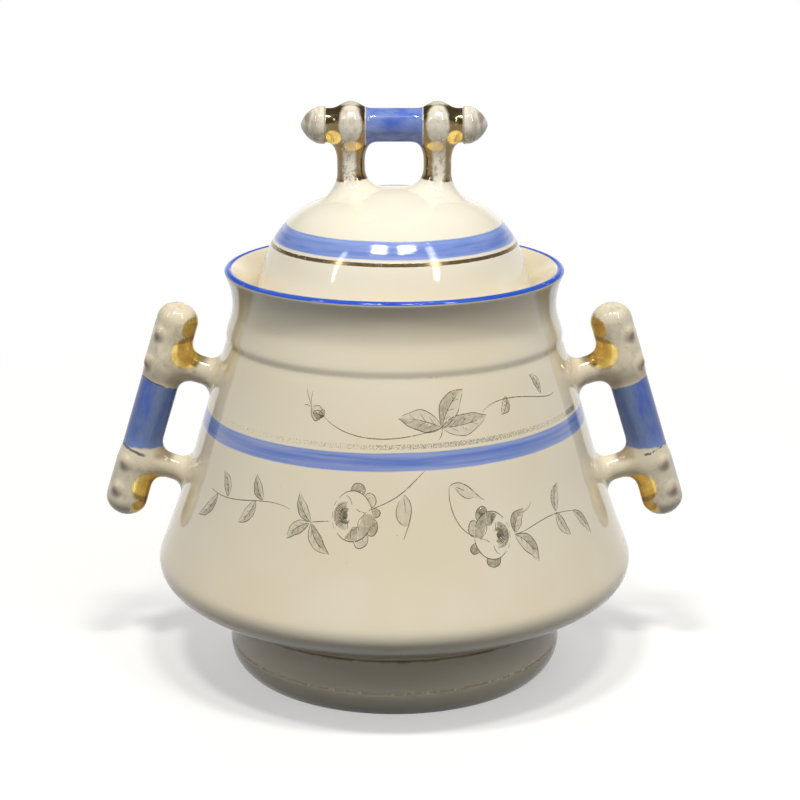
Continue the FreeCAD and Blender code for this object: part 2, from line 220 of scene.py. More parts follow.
def farthest(node, rows):
    """Greatest distance in millimetres from the CAD node's points to an outline, each distance being the
    least one to any row. Every point is turned into (radius, height), and a sample of them is compared."""
    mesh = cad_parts[node].data
    points = np.empty(len(mesh.vertices) * 3)
    mesh.vertices.foreach_get("co", points)
    points = points.reshape(-1, 3) / MM
    flat = np.unique(np.round(np.column_stack((np.hypot(*points[:, :2].T), points[:, 2])), 2), axis=0)
    sample = flat[:: max(1, len(flat) // SAMPLE_SIZE)]
    gaps = rows[None] - sample[:, None]
    return np.hypot(gaps[..., 0], gaps[..., 1]).min(axis=1).max()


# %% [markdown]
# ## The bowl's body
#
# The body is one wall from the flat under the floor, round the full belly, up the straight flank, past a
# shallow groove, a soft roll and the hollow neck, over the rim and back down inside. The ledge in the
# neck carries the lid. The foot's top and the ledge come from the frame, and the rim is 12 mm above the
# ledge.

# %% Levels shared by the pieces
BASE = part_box("bowl_body")[0].z / MM
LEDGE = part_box("lid_dome")[0].z / MM
LID_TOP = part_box("lid_dome")[1].z / MM
FOOT_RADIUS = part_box("foot_ring")[1].x / MM
LID_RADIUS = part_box("lid_dome")[1].x / MM
RING_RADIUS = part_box("lid_ring")[1].x / MM
LID_CLEARANCE, RING_CLEARANCE = 1.3, 0.9
NECK_WALL, BOWL_WALL, FLOOR_THICKNESS = 3.6, 3.1, 3.4
NECK_BORE = LID_RADIUS + LID_CLEARANCE
NECK_RADIUS = NECK_BORE + NECK_WALL
SHOULDER_RADIUS = NECK_RADIUS + 1.3
LEDGE_BORE = RING_RADIUS + RING_CLEARANCE
RIM = LEDGE + 12.0
HEEL_RADIUS, HEEL_HEIGHT = 49.4, BASE + 7.4
BELLY_RADIUS, BELLY_HEIGHT = 51.05, BASE + 13.5
FLANK_RADIUS, FLANK_HEIGHT = 41.7, BASE + 40.4
print(f"base {BASE:.1f}, ledge {LEDGE:.1f}, rim {RIM:.1f}, lid top {LID_TOP:.1f} mm")

# %% The body's outline and skin
bowl_outside = [
    (0.0, BASE, 0.0),
    (FOOT_RADIUS, BASE, 0.0),
    (FOOT_RADIUS, BASE + 1.7, 0.75),
    (HEEL_RADIUS, HEEL_HEIGHT, 1.1),
    (BELLY_RADIUS, BELLY_HEIGHT, -0.4),
    (FLANK_RADIUS, FLANK_HEIGHT, 0.0),
    (SHOULDER_RADIUS + 0.15, LEDGE - 3.4, 0.06),
    (SHOULDER_RADIUS - 0.42, LEDGE - 2.6, 0.06),
    (SHOULDER_RADIUS + 0.20, LEDGE - 1.7, 0.0),
    (NECK_RADIUS, LEDGE + 3.0, -0.75),
    (NECK_RADIUS + 1.5, RIM, 0.7),
]
bowl_inside = [
    (NECK_RADIUS - 0.6, RIM, 0.45),
    (NECK_BORE, LEDGE + 5.0, 0.0),
    (NECK_BORE, LEDGE, 0.0),
    (LEDGE_BORE, LEDGE, 0.0),
    (LEDGE_BORE, LEDGE - 1.8, 0.0),
    (SHOULDER_RADIUS - BOWL_WALL, LEDGE - 5.2, 0.0),
    (FLANK_RADIUS - BOWL_WALL, FLANK_HEIGHT, 0.4),
    (BELLY_RADIUS - BOWL_WALL, BELLY_HEIGHT, -0.5),
    (HEEL_RADIUS - 2.9, BASE + 9.4, -0.7),
    (30.0, BASE + FLOOR_THICKNESS, 0.0),
    (0.0, BASE + FLOOR_THICKNESS, 0.0),
]

# Outside the glaze lies thicker below the rim, so corners there are rounder, up to 3 mm under the rim.
THICK_GLAZE = (0.75, RIM - 3.0, 4.0)
bowl_outline = outline(bowl_outside + bowl_inside, flowing=THICK_GLAZE)
bowl_points, bowl_faces = spin(rows_of(bowl_outline, 2.4, 6.0), 336)
bowl = new_piece("bowl_skin", bowl_points, bowl_faces, "bowl", ["bowl_body"])
print("farthest CAD point from the outline:", round(farthest("bowl_body", bowl_outline), 3), "mm")

# %% [markdown]
# ## The foot
#
# The foot is turned apart: a rounded bead at the table, a shallow cove above it and a flat that it stands
# on. It is a closed ring, so its outline starts and ends at the same station.

# %% Foot ring
FOOT_BORE = FOOT_RADIUS - 4.4
FOOT_START = (FOOT_RADIUS - 4.45, 4.0, 0.0)
foot_outline = outline(
    [
        FOOT_START,
        (FOOT_RADIUS - 4.5, 0.0, 0.0),
        (FOOT_RADIUS - 2.5, 0.0, 0.7),
        (FOOT_RADIUS - 0.3, 5.3, -0.5),
        (FOOT_RADIUS, BASE, 0.0),
        (FOOT_BORE, BASE, 0.0),
        FOOT_START,
    ],
    softness=0.2,
)
foot_points, foot_faces = spin(rows_of(foot_outline, 1.6, 6.0)[:-1], closed=True)
foot = new_piece("foot_skin", foot_points, foot_faces, "bowl", ["foot_ring"])
print("farthest CAD point from the outline:", round(farthest("foot_ring", foot_outline), 3), "mm")

# %% [markdown]
# ## The lid
#
# The lid is a dome whose crown is part of a sphere, so that its top is square to the axis. Its edge is
# thicker and flat below, where it sits on the ledge. The locating ring under it keeps it centred.

# %% Lid dome and locating ring
CROWN_RADIUS, CROWN_HEIGHT = 18.9, LEDGE + 24.95
SIDE_RADIUS, SIDE_HEIGHT = 27.1, LEDGE + 15.0
LID_WALL = 2.7
LID_BEVEL = 0.7
LID_EDGE = LEDGE + 3.0
RING_BORE = RING_RADIUS - 2.4
RING_BOTTOM = LEDGE - 5.6


def cap_bulge(radius, rise):
    """Bulge of the arc from the axis out to a radius, lower by rise, when its centre is on the axis."""
    sphere = (radius**2 + rise**2) / (2.0 * rise)
    return sphere - math.sqrt(sphere**2 - (radius**2 + rise**2) / 4.0)


crown_rise = LID_TOP - CROWN_HEIGHT
inner_crown = CROWN_RADIUS - 1.4
lid_outline = outline(
    [
        (0.0, LID_TOP - LID_WALL, -cap_bulge(inner_crown, crown_rise)),
        (inner_crown, CROWN_HEIGHT - LID_WALL, -1.1),
        (SIDE_RADIUS - 2.5, SIDE_HEIGHT - 1.25, -0.6),
        (RING_BORE, LID_EDGE, 0.0),
        (RING_BORE, LEDGE, 0.0),
        (LID_RADIUS - LID_BEVEL, LEDGE, 0.0),
        (LID_RADIUS, LEDGE + LID_BEVEL, 0.0),
        (LID_RADIUS, LID_EDGE, 0.5),
        (SIDE_RADIUS, SIDE_HEIGHT, 1.1),
        (CROWN_RADIUS, CROWN_HEIGHT, cap_bulge(CROWN_RADIUS, crown_rise)),
        (0.0, LID_TOP, 0.0),
    ],
    softness=0.3,
)
lid_points, lid_faces = spin(rows_of(lid_outline, 1.6, 4.0))
lid = new_piece("lid_skin", lid_points, lid_faces, "lid", ["lid_dome"])
print("farthest CAD point from the outline:", round(farthest("lid_dome", lid_outline), 3), "mm")

RING_START = (RING_BORE, LEDGE - 2.0, 0.0)
ring_outline = outline(
    [
        RING_START,
        (RING_BORE, RING_BOTTOM, 0.6),
        (RING_RADIUS - 0.5, RING_BOTTOM, 0.0),
        (RING_RADIUS, LEDGE, 0.0),
        (RING_BORE, LEDGE, 0.0),
        RING_START,
    ],
    softness=0.15,
)
ring_points, ring_faces = spin(rows_of(ring_outline, 1.0, 8.0)[:-1], closed=True)
ring = new_piece("lid_ring_skin", ring_points, ring_faces, "lid", ["lid_ring"])

# %% [markdown]
# ## Bars that melt into each other
#
# The handles and the knob are bars luted together with slip, and their joints are rounded like melted wax.
# No single grid follows such a shape. It can be modelled as metaballs, or as boxes under Subdivision
# Surface. Here it is a formula that gives the distance from any point to the clay, because a formula blends
# two bars exactly: where both distances are small, the lesser one is made less still.
#
# A net of quads is then laid over the places where the distance is zero. Its knots slide towards their
# neighbours' average and back onto the surface a few times, which spreads them evenly.

# %% Blends between distances
def melt(first, second, reach):
    """The lesser of two distances, less h * h / (4 reach) with h = reach - |first - second| where that
    is above 0. Two crossing walls get a fillet with a radius of about reach."""
    near = np.maximum(reach - np.abs(first - second), 0.0)
    return np.minimum(first, second) - near * near / (4.0 * reach)


def root(height, radius, steepest=0.965):
    """How much a bar has widened where it is height above the surface that it stands on. It is a quarter
    circle, radius - sqrt(radius^2 - (radius - height)^2), and where that is nearly flat it goes on along
    its tangent, so that the root dives under the surface as a thin cone."""
    lean = np.maximum((radius - height) / radius, 0.0)
    curved = np.minimum(lean, steepest)
    tangent = steepest / math.sqrt(1.0 - steepest**2)
    return radius * (1.0 - np.sqrt(1.0 - curved * curved) + tangent * (lean - curved))


def ease(value, start, end):
    """0 up to start, 1 from end on, and 3 u^2 - 2 u^3 between."""
    u = np.clip((value - start) / (end - start), 0.0, 1.0)
    return u * u * (3.0 - 2.0 * u)


# %% A net over a distance
def slope_of(distance, points, step=0.01):
    """Gradient of the distance by central differences."""
    shifts = np.eye(3) * step
    return np.stack(
        [(distance(points + s) - distance(points - s)) / (2.0 * step) for s in shifts], axis=-1
    )


def onto(distance, points, rounds):
    """Newton's steps towards distance 0: each point moves by -distance * slope / |slope|^2."""
    for _ in range(rounds):
        slope = slope_of(distance, points)
        size = np.maximum((slope * slope).sum(axis=-1, keepdims=True), 0.05)
        move = distance(points)[:, None] * slope / size
        points = points - np.clip(move, -0.5, 0.5)
    return points


def net(distance, low, high, cell, rounds=6):
    """A closed net of quads where the distance changes its sign. A lattice cell with corners on both sides
    gets one knot, and each lattice edge with ends on both sides gets a quad between its four cells."""
    axes = [np.arange(a - cell, b + 2.0 * cell, cell) for a, b in zip(low, high)]
    lattice = np.stack(np.meshgrid(*axes, indexing="ij"), axis=-1)
    inside = distance(lattice.reshape(-1, 3)).reshape(lattice.shape[:3]) < 0.0
    count = sum(
        inside[i : i - 1 or None, j : j - 1 or None, k : k - 1 or None].astype(int)
        for i in (0, 1) for j in (0, 1) for k in (0, 1)
    )
    mixed = (count > 0) & (count < 8)
    number = np.full(mixed.shape, -1)
    number[mixed] = np.arange(mixed.sum())
    knots = lattice[:-1, :-1, :-1][mixed] + cell / 2.0
    quads = []
    for turn in ((0, 1, 2), (1, 2, 0), (2, 0, 1)):
        solid, cells = inside.transpose(turn), number.transpose(turn)
        near, far = solid[:-1, 1:-1, 1:-1], solid[1:, 1:-1, 1:-1]
        around = [cells[:, :-1, :-1], cells[:, 1:, :-1], cells[:, 1:, 1:], cells[:, :-1, 1:]]
        for leaving, order in ((near & ~far, (0, 1, 2, 3)), (far & ~near, (3, 2, 1, 0))):
            quads.append(np.stack([around[place][leaving] for place in order], axis=-1))
    quads = np.concatenate(quads)
    edges = np.concatenate([quads[:, [place, (place + 1) % 4]] for place in range(4)])
    knots = onto(distance, knots, 4)
    share = np.bincount(edges[:, 0], minlength=len(knots))[:, None]
    for _ in range(rounds):
        total = [np.bincount(edges[:, 0], knots[edges[:, 1], axis], len(knots)) for axis in range(3)]
        knots = onto(distance, 0.4 * knots + 0.6 * np.stack(total, axis=-1) / share, 2)
    return knots, quads.tolist()


# %% [markdown]
# ## The handles
#
# Each handle is a stout bar that leans with the flank, on two arms that grow out of the body. Small
# knots sit on it like thorns on a rose branch. The arms widen where they reach the body, over a height
# that is measured from the body's own outline. Their roots go on a little way into the wall, so that no
# gap shows, and are cut off there.

# %% The right handle's distance
HANDLE_LEAN = math.radians(17.3)
BAR = np.array((52.6, 0.0, BASE + 42.6))
UP_BAR = np.array((-math.sin(HANDLE_LEAN), 0.0, math.cos(HANDLE_LEAN)))
OUT_OF_BAR = np.array((math.cos(HANDLE_LEAN), 0.0, math.sin(HANDLE_LEAN)))
GRIP_RADIUS, END_RADIUS = 4.1, 4.47
BAR_TOP, BAR_BOTTOM = 25.3, -23.9
ARMS = ((12.4, 3.0), (-10.4, 2.75))
THORNS = ((18.3, 41.0), (11.5, 52.0), (-11.3, 31.0), (-17.6, 34.0))
ROOT_DEPTH = 1.1
outer_rows = bowl_outline[: np.argmax(bowl_outline[:, 1])]


def above_body(points):
    """Height of points above the body's flank, from the outline's radius at the same height."""
    body_radius = np.interp(points[:, 2], outer_rows[:, 1], outer_rows[:, 0])
    return (np.hypot(points[:, 0], points[:, 1]) - body_radius) * math.cos(HANDLE_LEAN)


def handle_distance(points):
    """Bar, arms and thorns melted together, and cut off at the root's depth under the body's surface."""
    away = points - BAR
    t, out, y = away @ UP_BAR, away @ OUT_OF_BAR, points[:, 1]
    middle, half = (BAR_TOP + BAR_BOTTOM) / 2.0, (BAR_TOP - BAR_BOTTOM) / 2.0
    radius = GRIP_RADIUS + (END_RADIUS - GRIP_RADIUS) * ease(np.abs(t), 7.5, 12.0)
    past = np.maximum(np.abs(t - middle) - half + 3.9, 0.0) * END_RADIUS / 3.9
    clay = np.hypot(np.hypot(out, y), past) - radius
    height = above_body(points)
    for place, arm_radius in ARMS:
        arm = np.hypot(t - place, y) - arm_radius - root(height + 0.05, 2.6)
        clay = melt(clay, np.maximum(arm, out), 3.2)
    for place, turn in THORNS:
        outwards = math.sin(math.radians(turn))
        front = math.cos(math.radians(turn))
        tip = np.hypot(t - place, out - (END_RADIUS - 0.65) * outwards)
        thorn = np.hypot(tip, np.abs(y) - (END_RADIUS - 0.65) * front) - 1.15
        clay = melt(clay, thorn, 1.3)
    return np.maximum(clay, -ROOT_DEPTH - height)


# %% Both handles
handle_low, handle_high = (np.array(corner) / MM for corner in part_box("right_handle"))
HANDLE_CELL = 0.32
ROOM = np.array((1.2, 2.6, 2.6))
handle_points, handle_faces = net(handle_distance, handle_low - ROOM, handle_high + ROOM, HANDLE_CELL)
print("right handle's CAD box in mm:", handle_low.round(2), handle_high.round(2))
right_handle = new_piece(
    "right_handle_skin", handle_points, handle_faces, "bowl", ["right_handle"]
)
HALF_TURN = np.array((-1.0, -1.0, 1.0))
left_handle = new_piece(
    "left_handle_skin", handle_points * HALF_TURN, handle_faces, "bowl",
    ["left_handle"],
)

# %% [markdown]
# ## The knob
#
# A crossbar on two posts. A bead runs round the bar over each post, and the bar ends in two pointed buds.
# The posts widen below into the lid, which is a sphere there, so their height above it is easy to tell.

# %% The knob's distance and skin
KNOB_BAR_HEIGHT = LID_TOP + 13.0
POST_OFFSET = 9.0
DOME_RADIUS = (CROWN_RADIUS**2 + crown_rise**2) / (2.0 * crown_rise)


def knob_distance(points):
    """Crossbar, beads, buds and posts melted together, and cut off at the root's depth under the lid."""
    x, y, z = np.abs(points[:, 0]), points[:, 1], points[:, 2] - KNOB_BAR_HEIGHT
    round_bar = np.hypot(y, z)
    clay = np.maximum(round_bar - 3.5, x - 16.0)
    bead = np.hypot(x - POST_OFFSET, round_bar - 2.3) - 2.67
    clay = melt(clay, bead, 1.8)
    along = np.clip((x - 14.7) / 4.7, 0.0, 1.0)
    bud_radius = 3.92 * np.maximum(1.0 - along**2.1, 0.0) ** 0.68
    bud = np.maximum((round_bar - bud_radius) * 0.8, np.maximum(14.4 - x, x - 19.4))
    clay = melt(clay, bud, 0.5)
    height = np.linalg.norm(points - (0.0, 0.0, LID_TOP - DOME_RADIUS), axis=-1) - DOME_RADIUS
    post = np.hypot(x - POST_OFFSET, y) - 2.9 - root(height + 0.05, 4.6)
    clay = melt(clay, np.maximum(post, z), 3.0)
    return np.maximum(clay, -ROOT_DEPTH - height)


knob_low, knob_high = (np.array(corner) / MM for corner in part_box("lid_knob"))
KNOB_CELL = 0.3
ROOT_ROOM = np.array((3.4, 2.6, 5.0))
knob_points, knob_faces = net(knob_distance, knob_low - ROOT_ROOM, knob_high + ROOM, KNOB_CELL)
print("knob's CAD box in mm:", knob_low.round(2), knob_high.round(2))
knob = new_piece("knob_skin", knob_points, knob_faces, "lid", ["lid_knob"])

# %% [markdown]
# ## Printed sprigs
#
# Sprays of roses and leaves in thin grey lines run round the flank, above and below the blue band. They
# were transfer printed, so lines are a quarter of a millimetre wide, with a pale grey wash inside the
# petals. An image texture would do it, but lines that are meshes stay crisp at any distance. They stand out
# from the glaze by a few hundredths of a millimetre.
#
# Everything is drawn flat in millimetres: the way round the girth, and the height. Then it is wrapped on
# the flank. Lines are open paths, and a leaf or a rose is a few of them, given by a formula. The same spray
# is wrapped on the front and on the back.

# %% Lines and washes on a flat sheet
GIRTH_RADIUS = 45.0
LINES, WASHES = [], []


def curve(*corners, count=26):
    """Bezier curve: the sum of C(n, k) s^k (1 - s)^(n - k) times each corner, for s from 0 to 1."""
    s = np.linspace(0.0, 1.0, count)[:, None]
    n = len(corners) - 1
    return sum(
        math.comb(n, k) * s**k * (1.0 - s) ** (n - k) * np.array(corner)
        for k, corner in enumerate(corners)
    )


def part_circle(centre, radius, start, end, count=26):
    """Centre + radius (cos a, sin a) for a from start to end in degrees."""
    a = np.radians(np.linspace(start, end, count))
    return np.array(centre) + radius * np.column_stack((np.cos(a), np.sin(a)))


def draw(path, width=0.27):
    """Adds a pen line that swells as sin(pi s)^0.5 from a thin start to a thin end."""
    s = np.linspace(0.0, 1.0, len(path))
    LINES.append((path, 0.5 * width * (0.35 + 0.65 * np.sqrt(np.sin(np.pi * s).clip(0.0)))))


def wash(first, second, strength):
    """Adds a wash between two paths of the same number of points, with a strength up to 1."""
    WASHES.append((first, second, strength))


def leaf(base, tip, width, bend=0.0, strength=0.45, veins=3):
    """A leaf round a spine that bows aside by bend: half its width is sin(pi s^0.85)^0.9, and it is
    washed darker on one side of the spine than on the other."""
    base, tip = np.array(base), np.array(tip)
    way = tip - base
    aside = np.array((-way[1], way[0]))
    s = np.linspace(0.0, 1.0, 26)[:, None]
    spine = base + way * s + aside * bend * 4.0 * s * (1.0 - s)
    swell = 0.5 * width * np.sin(np.pi * s**0.85).clip(0.0) ** 0.9 * aside / np.linalg.norm(aside)
    wave = 1.0 + 0.10 * np.sin(13.0 * s + 40.0 * bend) * s
    left, right = spine + swell * wave, spine - swell * (2.0 - wave)
    draw(left)
    draw(right[:24], 0.22)
    draw(spine[:20], 0.20)
    for start in np.linspace(4, 15, veins).astype(int):
        for edge in (left, right):
            end = spine[start + 4] + 0.60 * (edge[start + 4] - spine[start + 4])
            draw(curve(spine[start], 0.5 * (spine[start + 1] + end), end, count=8), 0.12)
    wash(left, spine, strength)
    wash(spine, right, 0.35 * strength)


def toward(degrees):
    """The unit vector (cos a, sin a)."""
    return np.array((math.cos(math.radians(degrees)), math.sin(math.radians(degrees))))


def rose(centre, radius, heart, lobes, strength=0.5):
    """A full rose, taller than wide: a round cup drawn in two strokes that leave its front open, a seed
    near the front with part circles round it, two folded petals at the back, and small petals that
    stand out behind the cup at the given angles, each with half its width in degrees."""
    centre = np.array(centre)
    slim = radius * np.array((0.86, 1.0))
    forward, upward = toward(heart), -toward(heart + 90.0)

    def at(x, y):
        return centre + slim * (x * forward + y * upward)

    def oval(middle, size, start, end):
        return middle + slim * part_circle((0.0, 0.0), size, start, end)

    draw(oval(centre, 1.0, heart + 44.0, heart + 160.0), 0.34)
    draw(oval(centre, 1.0, heart - 42.0, heart - 172.0), 0.30)
    for start, end in ((-34.0, -20.0), (-8.0, 10.0), (16.0, 32.0)):
        draw(oval(centre, 1.03, heart + start, heart + end), 0.14)

    seed = at(0.38, 0.0)
    for reach in (0.14, 0.10):
        wash(oval(seed, 0.01, 0.0, 360.0), oval(seed, reach, 0.0, 360.0), 3.0)
    for near, far, half, shade in ((0.12, 0.33, 125.0, 0.9), (0.34, 0.56, 100.0, 0.9 * strength)):
        low, high = heart - half, heart + half
        wash(oval(seed, near, low, high), oval(seed, far, low, high), shade)
    for ring in range(7):
        span = 118.0 - 9.0 * ring
        lean = heart + 14.0 * math.sin(2.1 * ring)
        petal = oval(seed, 0.17 + 0.065 * ring, lean - span, lean + 0.8 * span)
        draw(petal, 0.14 + 0.06 * (ring % 2))
        for place in range(3 + ring % 2, 24, 4):
            inwards = seed - petal[place]
            draw(curve(petal[place], petal[place] + 0.14 * inwards, count=6), 0.12)

    folds = (
        ((-0.70, 0.18), (-0.50, 0.02), (-0.33, -0.14)), ((-0.33, -0.14), (-0.24, -0.34), (-0.36, -0.55)),
        ((-0.30, -0.44), (-0.15, -0.40), (-0.06, -0.44)), ((-0.06, -0.42), (0.06, -0.50), (0.04, -0.88)),
        ((0.14, -0.14), (0.24, -0.26), (0.22, -0.55)), ((-0.15, 0.30), (-0.45, 0.12), (-0.70, 0.16)),
        ((0.36, 0.80), (0.10, 0.70), (0.05, 0.42)),
    )
    for fold in folds:
        draw(curve(*(at(x, y) for x, y in fold), count=20), 0.22)
    wash(
        curve(at(-0.68, 0.14), at(-0.30, -0.14), at(-0.30, -0.80)),
        curve(at(-0.98, 0.10), at(-1.02, -0.55), at(-0.36, -0.93)), strength,
    )
    wash(
        curve(at(-0.28, -0.46), at(-0.02, -0.42), at(0.12, -0.60)),
        curve(at(-0.30, -0.93), at(0.0, -1.0), at(0.34, -0.88)), 1.3 * strength,
    )

    for number, (turn, half) in enumerate(lobes):
        low, high = turn - half, turn + half
        near, far = (centre + slim * 1.55 * toward(turn + share * half) for share in (-1.05, 0.80))
        lobe = curve(centre + slim * toward(low), near, far, centre + slim * toward(high))
        draw(lobe, 0.26)
        wash(oval(centre, 1.0, low, high), lobe, strength * (0.9 + 0.35 * math.sin(4.0 * number + 1.2)))
        heel, end = (centre + slim * reach * toward(turn + 4.0) for reach in (1.02, 1.20))
        draw(curve(heel, end, count=6), 0.12)


# %% The upper spray: a bud, three leaves and a loose stem
draw(curve((-17.0, 64.9), (-12.0, 61.2), (-4.0, 59.8), (4.8, 61.6), (11.0, 62.9), count=60))
leaf((-16.8, 64.8), (-20.2, 66.3), 2.9, 0.10, 0.5, 0)
leaf((-16.9, 64.9), (-19.6, 65.3), 1.5, 0.05, 0.8, 0)
leaf((-16.6, 64.7), (-18.0, 65.5), 1.6, -0.10, 1.0, 0)
draw(curve((-20.0, 66.3), (-21.2, 67.6), (-21.9, 69.6)), 0.2)
draw(curve((-20.2, 66.3), (-20.6, 67.8), (-20.2, 69.2)), 0.2)
draw(curve((-20.2, 66.2), (-21.4, 66.6), (-22.0, 66.4)), 0.2)
leaf((11.1, 63.0), (1.0, 65.0), 4.0, -0.05)
leaf((11.1, 63.0), (17.2, 69.8), 4.4, 0.10)
leaf((11.1, 63.0), (22.6, 64.4), 4.0, -0.04)
draw(curve((11.1, 63.0), (11.2, 61.6), (10.2, 60.7)))
draw(curve((21.6, 65.0), (24.4, 67.4), (31.0, 67.6), (37.0, 66.2), (43.0, 64.2), (46.6, 65.2), count=60))
leaf((28.8, 67.2), (26.6, 64.0), 2.2, 0.16)
leaf((41.0, 66.0), (38.0, 70.2), 2.0, -0.14)

# %% The lower spray: two roses with their leaves
rose((-8.4, 46.5), 4.75, 180.0, ((78, 20), (38, 17), (8, 10), (-22, 19), (-62, 20)), 0.45)
draw(curve((-5.3, 47.6), (-2.6, 48.9), (1.4, 49.7), (3.6, 52.8), (6.6, 55.0), count=50), 0.28)
left_side = curve((1.2, 49.6), (-0.2, 47.4), (0.5, 45.4), (2.3, 44.8))
right_side = curve((2.2, 50.7), (4.3, 49.2), (3.6, 46.6), (2.9, 45.0))
draw(left_side, 0.24)
draw(curve((2.2, 50.7), (4.6, 48.9), (3.4, 46.0), (1.9, 42.3)), 0.26)
draw(curve((2.0, 50.0), (2.4, 48.8), (2.3, 47.4)), 0.18)
wash(left_side, right_side, 0.20)
draw(curve((-17.2, 44.6), (-15.2, 45.0), (-13.2, 45.2)))
leaf((-17.2, 44.7), (-20.2, 49.8), 2.2, 0.10)
leaf((-17.4, 44.5), (-22.0, 40.9), 2.4, -0.10)
leaf((-17.0, 44.4), (-12.6, 39.0), 2.5, -0.12)

rose((20.0, 41.8), 4.5, -6.0, ((117, 20), (160, 19), (205, 12), (-95, 21)), 0.62)
draw(curve((16.1, 42.1), (12.8, 43.4), (11.0, 48.2), (11.8, 51.9), count=40), 0.28)
top_side = curve((11.8, 51.9), (14.0, 53.4), (16.8, 51.6), (17.2, 49.6), (19.4, 48.5))
low_side = curve((13.0, 51.4), (14.4, 49.4), (15.6, 48.9), (16.8, 49.4))
draw(top_side, 0.28)
draw(low_side, 0.22)
draw(curve((13.2, 51.6), (14.2, 51.2), (15.0, 50.8)), 0.18)
wash(top_side, low_side, 0.16)
draw(curve((24.8, 41.2), (29.0, 41.0), (33.0, 43.6), (37.4, 43.1), (42.9, 41.9), count=50))
leaf((25.2, 41.5), (28.2, 45.6), 2.7, 0.14, 0.75)
draw(curve((27.0, 45.0), (28.2, 44.8), (29.8, 45.2), (30.4, 46.4)), 0.20)
leaf((25.2, 41.1), (29.6, 35.2), 3.0, 0.12, 0.6)
leaf((37.0, 43.2), (39.4, 48.4), 2.2, 0.12)
leaf((37.0, 43.0), (39.8, 37.8), 2.2, -0.08)
leaf((42.6, 42.0), (46.8, 36.2), 2.0, 0.08)

draw(curve((-22.0, 46.4), (-29.0, 48.6), (-36.0, 44.0), (-46.0, 45.6), count=50))
leaf((-29.2, 47.0), (-31.8, 51.6), 2.3, 0.10)
leaf((-31.0, 46.6), (-34.6, 41.6), 2.4, 0.10)
leaf((-39.4, 45.6), (-42.6, 50.0), 2.2, -0.10)
leaf((-43.0, 45.2), (-48.6, 39.6), 2.3, 0.10)
print(len(LINES), "lines and", len(WASHES), "washes in one spray")

# %% Wrap the sheet on the flank
LINE_TOP, LINE_EDGE, LINE_BOTTOM = 0.026, -0.012, -0.05
WASH_TOP, WASH_BOTTOM = 0.010, -0.04


def wrapped(sheet, lift):
    """A sheet point (u, z) at angle u / 45 about the axis, lifted off the body's outline at height z."""
    angle = sheet[..., 0] / GIRTH_RADIUS
    radius = np.interp(sheet[..., 1], outer_rows[:, 1], outer_rows[:, 0]) + lift
    return np.stack((radius * np.sin(angle), -radius * np.cos(angle), sheet[..., 1]), axis=-1)


def tubes(loops):
    """One mesh from many closed tubes. A loop array has stations, corners and xyz; its ends are capped."""
    points, faces, strengths, first = [], [], [], 0
    for loop, strength in loops:
        stations, corners = loop.shape[:2]
        quads = grid_faces(stations, corners, False)
        points.append(loop.reshape(-1, 3))
        faces += (quads + first).tolist()
        faces.append((np.arange(corners)[::-1] + first).tolist())
        faces.append((np.arange(corners) + first + (stations - 1) * corners).tolist())
        strengths.append(np.full(stations * corners, strength))
        first += stations * corners
    return np.concatenate(points), faces, np.concatenate(strengths)


def line_loop(path, half_width):
    """A lens-shaped section at each station: two edges sunk in the glaze, and a middle that stands out."""
    way = np.gradient(path, axis=0)
    aside = np.column_stack((way[:, 1], -way[:, 0])) / np.hypot(*way.T)[:, None]
    edge = aside * half_width[:, None]
    corners = (
        wrapped(path - edge, LINE_EDGE), wrapped(path, LINE_BOTTOM),
        wrapped(path + edge, LINE_EDGE), wrapped(path, LINE_TOP),
    )
    return np.stack(corners, axis=1)


def wash_loop(first, second):
    """A flat section between two paths, with four corners on top and two sunk in the glaze."""
    share = np.linspace(0.0, 1.0, 4)[:, None, None]
    top = wrapped(first + (second - first) * share, WASH_TOP)
    sunk = wrapped(np.stack((second, first)), WASH_BOTTOM)
    return np.concatenate((top, sunk)).transpose(1, 0, 2)[:, ::-1]


def outward(loop):
    """The loop, or its mirror order if the volume it encloses comes out negative. The volume is the sum
    of a . (b x c) over the two triangles of each quad."""
    quads = grid_faces(*loop.shape[:2], False)
    a, b, c, d = (loop - loop.mean(axis=(0, 1))).reshape(-1, 3)[quads].transpose(1, 0, 2)
    volume = (a * np.cross(b, c)).sum() + (a * np.cross(c, d)).sum()
    return loop if volume > 0.0 else loop[:, ::-1]


def both_sides(loops):
    """The loops, and the same again turned half way round the bowl."""
    return loops + [(loop * HALF_TURN, strength) for loop, strength in loops]


line_loops = both_sides([(outward(line_loop(*line)), 1.0) for line in LINES])
wash_loops = both_sides([(outward(wash_loop(a, b)), strength) for a, b, strength in WASHES])
points, faces, _ = tubes(line_loops)
sprig_lines = new_piece("sprig_lines", points, faces, "bowl")
points, faces, strengths = tubes(wash_loops)
sprig_washes = new_piece("sprig_washes", points, faces, "bowl")
strength_of = sprig_washes.data.attributes.new("strength", "FLOAT", "POINT")
strength_of.data.foreach_set("value", strengths)

# %% [markdown]
# ## Shader arithmetic
#
# Each finish is a formula over the surface, such as "blue where the height is between two lines, less so
# where the noise says the brush ran dry". Node trees get hard to read when such a formula is spread over
# thirty boxes. So one small class wraps a socket, and adding or multiplying two of them adds the Math node.

# %% The Wire class
WAVE_DEPTH = 0.014


